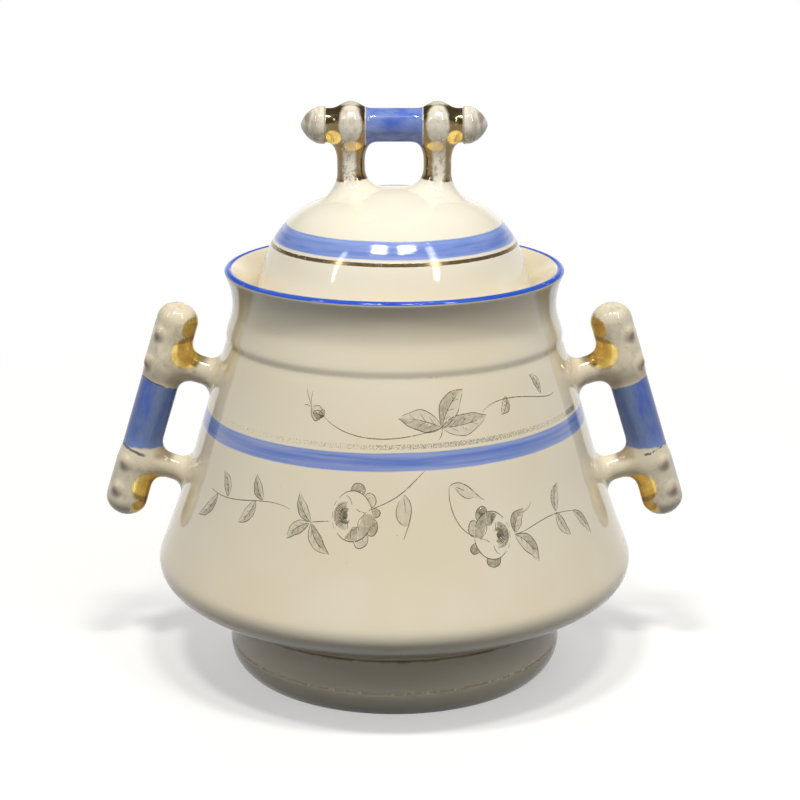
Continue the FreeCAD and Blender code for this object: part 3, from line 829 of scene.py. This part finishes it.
class Wire:
    """One number or colour in a node tree, as an output socket, with arithmetic."""

    def __init__(self, paint, socket):
        self.paint, self.socket = paint, socket

    def maths(self, operation, *values):
        return self.paint.node("ShaderNodeMath", dict(operation=operation), *values)

    def __add__(self, other):
        return self.maths("ADD", self, other)

    def __radd__(self, other):
        return self.maths("ADD", other, self)

    def __sub__(self, other):
        return self.maths("SUBTRACT", self, other)

    def __rsub__(self, other):
        return self.maths("SUBTRACT", other, self)

    def __mul__(self, other):
        return self.maths("MULTIPLY", self, other)

    def __rmul__(self, other):
        return self.maths("MULTIPLY", other, self)

    def __truediv__(self, other):
        return self.maths("DIVIDE", self, other)

    def __abs__(self):
        return self.maths("ABSOLUTE", self)

    def __pow__(self, power):
        return self.maths("POWER", self, power)

    def most(self, other):
        return self.maths("MAXIMUM", self, other)

    def ramp(self, start, end):
        """0 up to start, 1 from end on, and a smooth S between. Start may be above end."""
        settings = dict(interpolation_type="SMOOTHSTEP")
        sockets = {"Value": self, "From Min": start, "From Max": end}
        return self.paint.node("ShaderNodeMapRange", settings, **sockets)

    def band(self, low, high, soft):
        """1 between low and high, falling to 0 within soft outside them."""
        return self.ramp(low - soft, low) * self.ramp(high + soft, high)


class Tree:
    """A node tree, of a material or of the world, and the one way in which nodes are added to it."""

    def __init__(self, tree):
        self.tree = tree

    def node(self, kind, settings, *values, output=0, **sockets):
        """Adds a node: its settings first, then its inputs by order, by name or as a dictionary."""
        made = self.tree.nodes.new(kind)
        for key, value in settings.items():
            setattr(made, key, value)
        for key, value in [*enumerate(values), *sockets.items()]:
            self.join(made.inputs[key], value)
        return Wire(self, made.outputs[output])

    def join(self, socket, value):
        """Links a wire to a socket, or sets a plain value on it. None leaves the socket as it is."""
        if isinstance(value, Wire):
            self.tree.links.new(value.socket, socket)
        elif value is not None:
            socket.default_value = value

    def seen_directly(self):
        """1 for rays from the camera, from a reflection or through glass, and 0 for scattered light."""
        kinds = ("Is Camera Ray", "Is Glossy Ray", "Is Transmission Ray")
        camera_ray, glossy, clear = (self.node("ShaderNodeLightPath", {}, output=kind) for kind in kinds)
        return camera_ray.most(glossy).most(clear)


class Paint(Tree):
    """A material's node tree. It hands out the coordinates in millimetres and ends in one shader."""

    def __init__(self, name):
        self.material = bpy.data.materials.new(name)
        self.material.use_nodes = True
        super().__init__(self.material.node_tree)
        self.shader = self.tree.nodes["Principled BSDF"]
        metres = self.node("ShaderNodeTexCoord", {}, output="Object")
        self.point = self.node("ShaderNodeVectorMath", dict(operation="SCALE"), metres, Scale=1.0 / MM)
        self.x, self.y, self.z = (
            self.node("ShaderNodeSeparateXYZ", {}, self.point, output=axis) for axis in "XYZ"
        )

    def radius(self):
        """Distance from the Z axis in millimetres."""
        return (self.x * self.x + self.y * self.y) ** 0.5

    def angle(self):
        """Angle about Z in radians, 0 at the front and growing to the right, torn only at the back."""
        return self.node("ShaderNodeMath", dict(operation="ARCTAN2"), self.x, -1.0 * self.y)

    def noise(self, size, detail=3.0, roughness=0.55, at=None):
        """Cloudy noise about 0.5, with patches of about that size in millimetres."""
        return self.node(
            "ShaderNodeTexNoise", {}, Vector=at or self.point, Scale=1.0 / size, Detail=detail,
            Roughness=roughness,
        )

    def specks(self, size, radius):
        """1 in round specks, one in each cell of that size, and 0 outside them."""
        gap = self.node("ShaderNodeTexVoronoi", {}, Vector=self.point, Scale=1.0 / size)
        return (gap * size).ramp(radius, 0.6 * radius)

    def mix(self, amount, first, second):
        """The first colour, changed to the second as amount goes from 0 to 1."""
        unused = [None] * 5
        settings = dict(data_type="RGBA", clamp_factor=True)
        return self.node("ShaderNodeMix", settings, amount, *unused, first, second, output=2)

    def bump(self, height):
        """A bumped normal. The height is in units of the glaze's small waves, which are that deep."""
        return self.node(
            "ShaderNodeBump", {}, Height=height * WAVE_DEPTH, Distance=MM, Strength=1.0
        )

    def finish(self, **sockets):
        """Links wires to the shader's sockets and sets plain numbers on them."""
        for key, value in sockets.items():
            self.join(self.shader.inputs[key.replace("_", " ")], value)
        return self.material


def colour(red, green, blue):
    """A colour as a painter reads it off a screen, 0 to 255, as the linear values that nodes take."""
    screen = np.array((red, green, blue)) / 255.0
    linear = np.where(screen <= 0.04045, screen / 12.92, ((screen + 0.055) / 1.055) ** 2.4)
    return (*linear.tolist(), 1.0)

# %% [markdown]
# ## Glaze
#
# Porcelain glaze is clear glass over a cream body. On the real one its colour drifts a little from the
# kiln, its surface ripples too gently to see except in reflections, and a few iron specks show through.
# Every finish below starts from this one, so it is a function.

# %% Cream glaze
CREAM = colour(238, 229, 207)
WARM_CREAM = colour(233, 220, 190)
# The handles' cream is darker than the body's, partly as painted shade.
SHADED_HANDLE_CREAM = colour(226, 217, 194)
# The lid's cream is paler and whiter than the body's, partly its own glaze and partly painted light.
LIT_LID_CREAM = colour(236, 231, 216)
LIT_LID_WARM_CREAM = colour(232, 223, 201)
SPECK = colour(120, 100, 76)


def cream(paint, clean=CREAM, warm=WARM_CREAM):
    """Cream colour with a slow warm drift and sparse specks, and the height of its gentle ripple."""
    drift = paint.noise(26.0, 2.0).ramp(0.35, 0.70)
    base = paint.mix(0.55 * drift, clean, warm)
    few = paint.noise(7.0, 1.0).ramp(0.56, 0.66)
    base = paint.mix(0.7 * few * paint.specks(2.3, 0.10), base, SPECK)
    ripple = paint.noise(7.0, 1.0) + 0.25 * paint.noise(2.2, 1.0)
    return base, ripple


# %% [markdown]
# ## Painted bands
#
# A bander holds a loaded brush against the piece as it turns on a wheel. The band comes out streaky along
# its length and darker where strokes overlap, and its edges waver by a fraction of a millimetre. So
# noise for a band is stretched round the axis, and the band's edges move with slow noise.

# %% Brush strokes round the axis
PALE_BLUE = colour(128, 156, 224)
DEEP_BLUE = colour(88, 120, 204)
RIM_BLUE = colour(34, 78, 190)
GOLD_TRACE_AND_SHADE = colour(140, 112, 66)
DARK_GOLD = colour(92, 76, 52)


def round_axis(paint, along, across):
    """Coordinates for streaks that run round the axis: the angle as a length, the radius and the height."""
    turn = paint.angle()
    return paint.node(
        "ShaderNodeCombineXYZ", {}, along * turn, across * paint.radius(), across * paint.z
    )


def band(paint, level, low, high, soft, waver=0.12):
    """A band's strength: 1 between two levels, with edges that waver slowly and fray a little."""
    wander = (paint.noise(14.0, 2.0) - 0.5) * (2.0 * waver)
    fine = (paint.noise(1.1, 2.0) - 0.5) * 0.10
    return (level + wander + fine).band(low, high, soft)


def brushed(paint, streaks, core):
    """Blue from pale to deep along the streaks, deeper where core is 1."""
    return paint.mix(streaks * 0.35 + 0.50 * core, PALE_BLUE, DEEP_BLUE)


def flaked(paint, size, share):
    """1 where thin gold still holds and 0 where it has flaked off. More of it holds as share goes to 1."""
    coarse = paint.noise(size, 4.0, 0.75)
    return coarse.ramp(0.43 + 0.30 * share, 0.37 + 0.30 * share)


# %% The body's finish
BELT_LOW, BELT_HIGH, BELT_TILT = 42.6, 45.75, 0.012
GOLD_LOW, GOLD_HIGH = 46.6, 47.4


def bowl_finish():
    """Cream glaze with the blue band, the flaked gold line above it and the worn blue rim. The band is
    painted a little higher on the right, as happens on a wheel that runs out of true."""
    paint = Paint("banded_cream_glaze")
    base, ripple = cream(paint)
    level = paint.z - BASE
    streaks = paint.noise(1.0, 3.0, at=round_axis(paint, 2.5, 1.3)).ramp(0.22, 0.78)
    tilt = level - BELT_TILT * paint.x
    outside = (paint.radius() + 0.32 * level).ramp(46.0, 47.0)

    # The blue band, deepest along its middle.
    belt = band(paint, tilt, BELT_LOW, BELT_HIGH, 0.30) * outside
    middle = tilt.band(43.3, 44.9, 0.6)
    blue = brushed(paint, streaks, middle)
    dry = 0.80 + 0.20 * streaks
    base = paint.mix(belt * dry, base, blue)

    # The gold line above it has flaked to a trail of dots, and more of it holds on the right.
    worn_line = band(paint, tilt, GOLD_LOW, GOLD_HIGH, 0.15, 0.05) * outside
    held = flaked(paint, 0.22, 0.02 + 0.42 * paint.x.ramp(-26.0, 32.0))
    worn_gold = paint.mix(paint.noise(1.5), colour(128, 118, 94), colour(172, 164, 142))
    base = paint.mix(0.52 * worn_line * held, base, worn_gold)

    # A faint line along the groove is partly a last trace of gold and partly painted shade in the crease.
    groove_gold_and_shade = band(paint, level, 59.7, 60.0, 0.15, 0.05) * flaked(paint, 2.0, 0.10)
    base = paint.mix(0.16 * groove_gold_and_shade, base, GOLD_TRACE_AND_SHADE)
    # The rim's crest is blue where knocks left it.
    crest = (paint.z - RIM).ramp(-0.02, 0.10) * (paint.radius() - NECK_RADIUS).ramp(-0.25, 0.0)
    scraped = paint.noise(1.0, 3.0, 0.6, at=round_axis(paint, 8.0, 2.0)).ramp(0.70, 0.64)
    rim_blue = paint.mix(streaks, RIM_BLUE, colour(62, 104, 210))
    base = paint.mix(crest * (0.35 + 0.65 * scraped), base, rim_blue)

    raised = ripple + 1.2 * belt * streaks + 2.0 * crest
    return paint.finish(
        Base_Color=base,
        Metallic=0.55 * worn_line * held,
        Roughness=0.05 + 0.04 * paint.noise(3.0, 3.0) + 0.03 * belt,
        Normal=paint.bump(raised),
    )


bowl.data.materials.append(bowl_finish())

# %% The printed sprigs' inks
def line_ink():
    """Olive grey ink, half see-through, and thinner in worn patches."""
    paint = Paint("sprig_line_ink")
    worn = paint.noise(1.7, 4.0, 0.7).ramp(0.30, 0.48)
    ink = paint.mix(paint.noise(2.5, 2.0), colour(90, 82, 60), colour(126, 116, 86))
    return paint.finish(Base_Color=ink, Roughness=0.10, Alpha=0.16 + 0.60 * worn)


def wash_ink():
    """Thin wash whose cover is the strength stored on its points, broken up by a fine grain."""
    paint = Paint("sprig_wash_ink")
    strength = paint.node("ShaderNodeAttribute", dict(attribute_name="strength"), output="Fac")
    hatch = paint.noise(0.5, 3.0, 0.65).ramp(0.25, 0.70)
    ink = paint.mix(hatch, colour(158, 150, 120), colour(112, 104, 78))
    patchy = paint.noise(2.4, 3.0).ramp(0.25, 0.70)
    cover = strength * (0.30 + 0.45 * hatch) * (0.50 + 0.80 * patchy)
    return paint.finish(Base_Color=ink, Roughness=0.08, Alpha=cover)


sprig_lines.data.materials.append(line_ink())
sprig_washes.data.materials.append(wash_ink())

# %% The foot's finish
def foot_finish():
    """Cream glaze, a flaked gold line, bare grimy biscuit where it stands, a joint darkened by grime and
    painted shade.
    """
    paint = Paint("foot_glaze")
    base, ripple = cream(paint)
    line = band(paint, paint.z, 5.35, 5.75, 0.12, 0.08) * flaked(paint, 2.2, 0.62)
    base = paint.mix(0.85 * line, base, DARK_GOLD)
    bare = paint.z.ramp(0.45, 0.15)
    grime = paint.noise(2.5, 4.0).ramp(0.40, 0.75)
    biscuit = paint.mix(grime, colour(214, 205, 186), colour(150, 136, 112))
    base = paint.mix(bare, base, biscuit)
    # The joint under the belly is darkened, partly by grime and partly as painted shade.
    joint_grime_and_shade = paint.z.ramp(BASE - 0.5, BASE - 0.05) * paint.noise(3.0, 3.0).ramp(0.35, 0.65)
    base = paint.mix(0.35 * joint_grime_and_shade, base, colour(120, 106, 84))
    return paint.finish(
        Base_Color=base,
        Metallic=0.5 * line,
        Roughness=0.06 + 0.05 * paint.noise(3.0, 3.0) + 0.6 * bare,
        Normal=paint.bump(ripple + 2.0 * bare * paint.noise(0.4, 3.0)),
    )


foot.data.materials.append(foot_finish())

# %% The lid's finish
def lid_finish():
    """Paler cream, partly painted light, with the blue band, the gold line below it and bare below the
    edge.
    """
    paint = Paint("lid_glaze")
    base, ripple = cream(paint, LIT_LID_CREAM, LIT_LID_WARM_CREAM)
    level = paint.z - LEDGE
    streaks = paint.noise(1.0, 3.0, at=round_axis(paint, 2.5, 1.3)).ramp(0.22, 0.78)
    outside = (paint.radius() + 0.9 * level).ramp(37.2, 38.2)
    belt = band(paint, level, 18.95, 21.9, 0.24) * outside
    blue = brushed(paint, streaks, level.band(19.5, 20.8, 0.5))
    base = paint.mix(belt * (0.84 + 0.16 * streaks), base, blue)

    line = band(paint, level, 17.6, 18.2, 0.08, 0.04) * outside * flaked(paint, 0.9, 0.88)
    gold = paint.mix(paint.noise(1.0, 3.0), DARK_GOLD, colour(176, 146, 92))
    base = paint.mix(0.92 * line, base, gold)

    bare = level.ramp(0.35, 0.1)
    base = paint.mix(bare, base, colour(206, 196, 174))
    return paint.finish(
        Base_Color=base,
        Metallic=0.7 * line,
        Roughness=0.05 + 0.04 * paint.noise(3.0, 3.0) + 0.03 * belt + 0.10 * line + 0.5 * bare,
        Normal=paint.bump(ripple + 1.2 * belt * streaks + 1.5 * line),
    )


lid_glaze = lid_finish()
lid.data.materials.append(lid_glaze)
ring.data.materials.append(lid_glaze)

# %% [markdown]
# ## Gold lustre and blue grips
#
# Handles and knob were brushed with liquid gold, which fires to a film thinner than a hair. Fingers have
# rubbed it off every proud place and left it in hollows and on inner sides. Thin gold looks brown or olive,
# so its colour varies as its thickness does. Where it is gone, the cream glaze shows.

# %% The handles' finish
BRIGHT_GOLD = colour(252, 220, 118)
DEEP_GOLD = colour(228, 182, 90)
BROWN_GOLD = colour(128, 96, 48)
THIN_GOLD = colour(120, 108, 70)


def patch(along, across, size_along, size_across):
    """1 in an oval patch with soft edges, from the distances to its middle along its two axes."""
    return ((along / size_along) ** 2.0 + (across / size_across) ** 2.0).ramp(1.3, 0.7)


def handle_finish():
    """One finish for both handles, since it only asks for the distance from the bowl's middle. Here t
    runs up the bar from its middle and out points away from the body, as in the handle's own distance."""
    paint = Paint("gilded_handle_glaze")
    # The handles start from the darker cream, which is partly painted shade.
    base, ripple = cream(paint, SHADED_HANDLE_CREAM, WARM_CREAM)
    right = abs(paint.x) - BAR[0].item()
    up = paint.z - BAR[2].item()
    t = UP_BAR[0].item() * right + UP_BAR[2].item() * up
    out = OUT_OF_BAR[0].item() * right + OUT_OF_BAR[2].item() * up
    ragged = 0.7 * (paint.noise(2.4, 3.0, 0.6) - 0.5)
    near_body = (paint.radius() + 0.32 * paint.z + 0.5 * ragged).ramp(60.6, 63.4)

    # Gold stays on the sides that face the body: a hollow by each arm, a rounder patch towards each end,
    # and a thin line along the top of the upper arm and in the fillet of the lower one.
    edge = 0.5 * ragged
    hollow = patch(abs(t) - 15.8 + edge, out + 4.0 + edge, 3.4, 3.4)
    end = patch(abs(t) - 21.2 + edge, out + 4.6 + edge, 2.6, 3.0)
    between = (abs(t) - 18.6).band(-2.0, 2.0, 0.6) * (out + edge).ramp(-2.2, -3.2)
    arm_top = (t + edge).ramp(13.9, 14.9) * (out + edge).ramp(-2.6, -4.0)
    corner = (t + edge).band(-8.2, -6.6, 1.2) * (out + edge).band(-6.4, -4.4, 1.8)
    holds = 0.45 + 0.55 * paint.noise(1.0, 4.0, 0.7).ramp(0.26, 0.42)
    gold = hollow.most(end).most(between).most(0.85 * arm_top).most(0.5 * corner) * holds * near_body

    # The film is thickest, and so yellow, in the hollows, and brown in a seam where two patches meet.
    yellow = paint.mix(paint.noise(3.0, 2.0).ramp(0.35, 0.65), BRIGHT_GOLD, DEEP_GOLD)
    film = paint.mix(hollow.most(0.7 * end), paint.mix(arm_top, BROWN_GOLD, THIN_GOLD), yellow)
    seam = (abs(t) + 0.4 * out + edge).band(17.0, 17.6, 0.6)
    film = paint.mix(0.65 * seam, film, colour(112, 74, 36))
    base = paint.mix(0.95 * gold, base, film)

    # A brown dusk round the thorns and at the bar's ends is partly thin gold, partly painted shade.
    dusk_and_shade = paint.noise(3.2, 4.0, 0.65).ramp(0.46, 0.74) * (abs(t) + ragged).ramp(9.0, 12.0)
    # Just under the upper arm the cream is darkened as a painted shadow.
    painted_arm_shadow = (t + ragged).ramp(11.5, 8.5) * (t + ragged).ramp(7.0, 8.5)
    base = paint.mix(0.42 * dusk_and_shade.most(0.8 * painted_arm_shadow) * near_body, base, colour(122, 106, 78))

    # The grip is brushed blue along the bar, deeper on its outer side, with a plum line at its lower end.
    along = paint.node("ShaderNodeCombineXYZ", {}, 0.30 * t, paint.y, out)
    streaks = paint.noise(2.6, 3.0, 0.5, at=along)
    fine = paint.noise(0.8, 2.0, 0.5, at=along)
    depth = 0.55 * streaks.ramp(0.30, 0.70) + 0.35 * out.ramp(-2.5, 3.5) + 0.18 * fine
    blue = paint.mix(depth, colour(94, 122, 172), colour(30, 86, 186))
    pool = paint.noise(4.5, 2.0, at=along).ramp(0.54, 0.66)
    blue = paint.mix(0.75 * pool, blue, colour(24, 82, 196))
    blue = paint.mix(0.55 * t.ramp(-3.0, -8.0), blue, colour(118, 146, 212))
    wave = 0.6 * (paint.noise(2.0, 2.0) - 0.5) + 0.35 * (fine - 0.5)
    grip = (t + 0.22 * out + wave).ramp(-7.6, -7.0) * (t - 0.10 * out + wave).ramp(7.8, 7.3)
    grip = grip * (out + 0.5 * wave).ramp(-4.7, -4.3)
    base = paint.mix(grip * (0.88 + 0.12 * fine), base, blue)
    left = paint.x.ramp(1.0, -1.0)
    dashes = paint.noise(1.4, 3.0).ramp(0.46, 0.54).most(0.9 * left)
    low_line = (t - 0.10 * out + 0.8 * wave).band(-8.6, -8.2, 0.14)
    high_line = (t - 0.10 * out + 0.5 * wave).band(7.5, 7.7, 0.12) * left
    line = (low_line * dashes).most(high_line) * out.ramp(-2.0, -1.0)
    base = paint.mix(0.85 * line, base, colour(66, 40, 84))

    # A reddish brown tip on each thorn, centred just below its point, in a wider halo of brown and painted
    # shade.
    for place, turn in THORNS:
        rim = END_RADIUS + 0.3
        high = t - (place - 0.45)
        aside = out - rim * math.sin(math.radians(turn))
        front = abs(paint.y) - rim * math.cos(math.radians(turn))
        tip = (high * high + aside * aside + front * front) ** 0.5
        base = paint.mix(0.30 * (tip + ragged).ramp(2.3, 0.8), base, colour(118, 92, 70))
        base = paint.mix(0.62 * (tip + 0.5 * ragged).ramp(1.15, 0.35), base, colour(146, 92, 76))

    return paint.finish(
        Base_Color=base,
        Metallic=0.86 * gold,
        Roughness=0.06 + 0.05 * paint.noise(2.0, 3.0) + 0.08 * gold + 0.05 * grip,
        Normal=paint.bump(ripple + 0.5 * gold + 0.8 * grip * fine),
    )


handle_glaze = handle_finish()
right_handle.data.materials.append(handle_glaze)
left_handle.data.materials.append(handle_glaze)

# %% The knob's finish
def knob_finish():
    """The same on both halves: x is the distance from the middle, and height is from the bar's axis."""
    paint = Paint("gilded_knob_glaze")
    # The knob takes the lid's paler cream, which is partly painted light.
    base, ripple = cream(paint, LIT_LID_CREAM, LIT_LID_WARM_CREAM)
    x = abs(paint.x)
    height = paint.z - KNOB_BAR_HEIGHT
    ragged = paint.noise(1.4, 3.0) - 0.5
    front = abs(paint.y)

    # Gold covers all but the buds, the blue middle and the worn fronts of the posts and beads.
    above_lid = paint.z - LID_TOP + 0.3 * ragged + 0.10 * (x - POST_OFFSET)
    covered = (x + 0.2 * ragged).band(6.1, 14.0, 0.15) * above_lid.ramp(1.5, 1.9)
    covered = covered.most(height.ramp(-3.6, -4.2) * above_lid.ramp(1.5, 1.9))
    beside = (x - POST_OFFSET) + 0.7 * ragged
    facing = (front + 0.5 * ragged).ramp(1.4, 2.8)
    oval = patch(beside, height - 0.9, 2.3, 4.2) * facing
    mottled = paint.noise(1.1, 4.0, 0.65).ramp(0.34, 0.52)
    stripe = abs(beside - 0.25).ramp(1.7, 0.75) * (height + ragged).ramp(-1.8, -3.4) * facing
    stripe = stripe * (0.35 + 0.65 * mottled)
    crown = (height + 0.8 * ragged).ramp(3.9, 4.6) * 0.8
    holds = 0.45 + 0.55 * paint.noise(1.0, 4.0, 0.7).ramp(0.26, 0.42)
    gold = covered * (1.0 - (0.94 * oval).most(stripe).most(crown)) * holds

    # A round yellow spot low on each neck is a painted reflection of the pale lid in the gold, and so is a
    # smaller one under each oval, which also lays gold there. Elsewhere the film is thin: brown or olive.
    neck_reflection = patch(x - 12.6 + 0.4 * ragged, height + 2.2, 1.7, 1.5)
    low_reflection = 0.8 * patch(x - 8.6 + 0.6 * ragged, height + 3.9 + 0.3 * ragged, 1.8, 1.0)
    painted_reflections = neck_reflection.most(low_reflection)
    yellow = paint.mix(paint.noise(1.6, 2.0).ramp(0.35, 0.65), BRIGHT_GOLD, DEEP_GOLD)
    thin = paint.mix(paint.noise(2.0, 3.0).ramp(0.40, 0.60), THIN_GOLD, BROWN_GOLD)
    gold = gold.most(0.8 * low_reflection * facing)
    base = paint.mix(0.95 * gold, base, paint.mix(painted_reflections, thin, yellow))
    base = paint.mix(0.25 * stripe.most(oval) * (1.0 - mottled), base, colour(124, 112, 84))

    # The bar's middle is brushed blue along its length, deepest halfway and in front.
    along = paint.node("ShaderNodeCombineXYZ", {}, 0.40 * paint.x, paint.y, paint.z)
    streaks = paint.noise(2.0, 3.0, 0.55, at=along)
    blue = paint.mix(streaks.ramp(0.30, 0.70), colour(114, 138, 204), colour(62, 100, 198))
    blue = paint.mix(0.6 * x.ramp(3.5, 0.5) * (height - 0.4).band(-1.2, 1.0, 1.2), blue, RIM_BLUE)
    edge = 0.3 * (paint.noise(0.8, 2.0) - 0.5)
    middle = (x + edge).ramp(6.0, 5.7) * height.ramp(-4.6, -4.0)
    base = paint.mix(middle * (0.88 + 0.12 * streaks), base, blue)

    # Thin lustre is left in soft rings round each bud, more of it towards the point.
    rings_at = paint.node("ShaderNodeCombineXYZ", {}, x, 0.22 * paint.y, 0.22 * paint.z)
    rings = paint.noise(1.1, 3.0, 0.6, at=rings_at).ramp(0.34, 0.66)
    beside_bar = height.ramp(-6.0, -5.2)
    bud = (x + 0.2 * ragged).ramp(14.0, 14.3) * beside_bar
    lustre = bud * (0.25 + 0.55 * x.ramp(14.6, 18.0)) * rings
    base = paint.mix(0.75 * lustre, base, colour(118, 102, 78))
    # The lower side of each bud is painted darker: painted shade.
    base = paint.mix(0.30 * bud * height.ramp(0.5, -3.5), base, colour(110, 98, 76))
    lip = (x + 0.1 * ragged).band(14.15, 14.35, 0.15) * beside_bar
    base = paint.mix(0.45 * lip, base, colour(112, 96, 66))

    return paint.finish(
        Base_Color=base,
        Metallic=(0.86 * gold).most(0.25 * lustre),
        Roughness=0.06 + 0.05 * paint.noise(2.0, 3.0) + 0.08 * gold + 0.05 * middle,
        Normal=paint.bump(ripple + 0.5 * gold + 0.8 * middle * streaks),
    )


knob.data.materials.append(knob_finish())

# %% [markdown]
# ## Light and floor
#
# Glossy glaze shows the lamps as bright windows, so their shape matters as much as their strength. Two
# panels high in front do most of the work and leave the foot in the belly's shade. A tall narrow window on
# each side draws the upright streaks on the lid. A wide soft panel behind keeps the far side from going
# black. The floor is pale paper that scatters little light back up.

# %% Lamps
AIM = Vector((0.0, 0.0, 0.06))


def lamp(name, low_end, high_end, width, power, tint):
    """A rectangular lamp whose middle line runs between two ends, turned about it to face the aim.
    Lengths in metres, power in watts."""
    low_end, high_end = Vector(low_end), Vector(high_end)
    middle = (low_end + high_end) / 2.0
    upwards = (high_end - low_end).normalized()
    backwards = middle - AIM
    backwards = (backwards - backwards.dot(upwards) * upwards).normalized()
    turned = Matrix((upwards.cross(backwards), upwards, backwards)).transposed()
    light = bpy.data.lights.new(name, "AREA")
    light.shape = "RECTANGLE"
    light.size, light.size_y = width, (high_end - low_end).length
    light.energy, light.color = power, tint
    made = bpy.data.objects.new(name, light)
    made.location = middle
    made.rotation_euler = turned.to_euler()
    bpy.context.scene.collection.objects.link(made)
    return made


CEILING_TINT, WINDOW_TINT = (1.0, 0.975, 0.92), (1.0, 0.985, 0.95)
lamp("left_ceiling_panel", (-0.19, -0.44, 1.03), (-0.18, -0.36, 1.06), 0.17, 5.2, CEILING_TINT)
lamp("right_ceiling_panel", (0.16, -0.44, 1.03), (0.15, -0.36, 1.06), 0.20, 5.2, CEILING_TINT)
lamp("left_window", (-0.76, -0.50, 0.46), (-0.56, -0.28, 0.90), 0.04, 1.2, WINDOW_TINT)
lamp("right_window", (0.58, -0.71, 0.54), (0.38, -0.24, 0.99), 0.08, 2.4, WINDOW_TINT)

# The panel behind stays out of reflections, so that the gold keeps its depth.
back_panel = lamp("back_panel", (0.1, 0.92, 0.22), (0.1, 0.80, 0.62), 0.80, 3.6, WINDOW_TINT)
back_panel.visible_glossy = False
print("lamps:", [light.name for light in bpy.data.lights])

# %% Floor
REACH = 2.5
FADE_FROM, FADE_TO = 70.0, 330.0
WHITE = (1.0, 1.0, 1.0, 1.0)
floor_mesh = bpy.data.meshes.new("floor")
corners = [(-REACH, -REACH, 0.0), (REACH, -REACH, 0.0), (REACH, REACH, 0.0), (-REACH, REACH, 0.0)]
floor_mesh.from_pydata(corners, [], [(0, 1, 2, 3)])
floor = bpy.data.objects.new("floor", floor_mesh)
bpy.context.scene.collection.objects.link(floor)

# Rays that see the floor get pale paper, which turns to plain white away from the bowl. Scattered light
# finds it dark, so that little comes back up under the belly.
paper = Paint("floor_paper")
seen = paper.seen_directly()
away = paper.radius()
grain = paper.noise(3.0, 3.0)
pale = paper.mix(grain, (0.93, 0.93, 0.93, 1.0), (0.96, 0.96, 0.96, 1.0))
paper.finish(
    Base_Color=paper.mix(seen, (0.06, 0.06, 0.06, 1.0), pale), Roughness=1.0, Specular_IOR_Level=0.0
)
glow = paper.node("ShaderNodeEmission", {}, Color=WHITE, Strength=1.0)
whiteness = seen * (0.45 + 0.55 * away.ramp(FADE_FROM, FADE_TO))
plain = Wire(paper, paper.shader.outputs[0])
blend = paper.node("ShaderNodeMixShader", {}, whiteness, plain, glow)
paper.join(paper.tree.nodes["Material Output"].inputs["Surface"], blend)
floor_mesh.materials.append(paper.material)

# %% World: pale round the horizon, dim above
world = bpy.data.worlds.new("studio")
bpy.context.scene.world = world
world.use_nodes = True
sky = Tree(world.node_tree)
direction = sky.node("ShaderNodeTexCoord", {}, output="Generated")
above = sky.node("ShaderNodeSeparateXYZ", {}, direction, output="Z").ramp(0.07, 0.34)
seen = sky.seen_directly()
shown, lighting = 1.0 - 0.91 * above, 0.17 - 0.09 * above
background = sky.tree.nodes["Background"]
sky.join(background.inputs["Strength"], seen * shown + (1.0 - seen) * lighting)
sky.join(background.inputs["Color"], WHITE)
bpy.context.scene.view_settings.view_transform = "Standard"
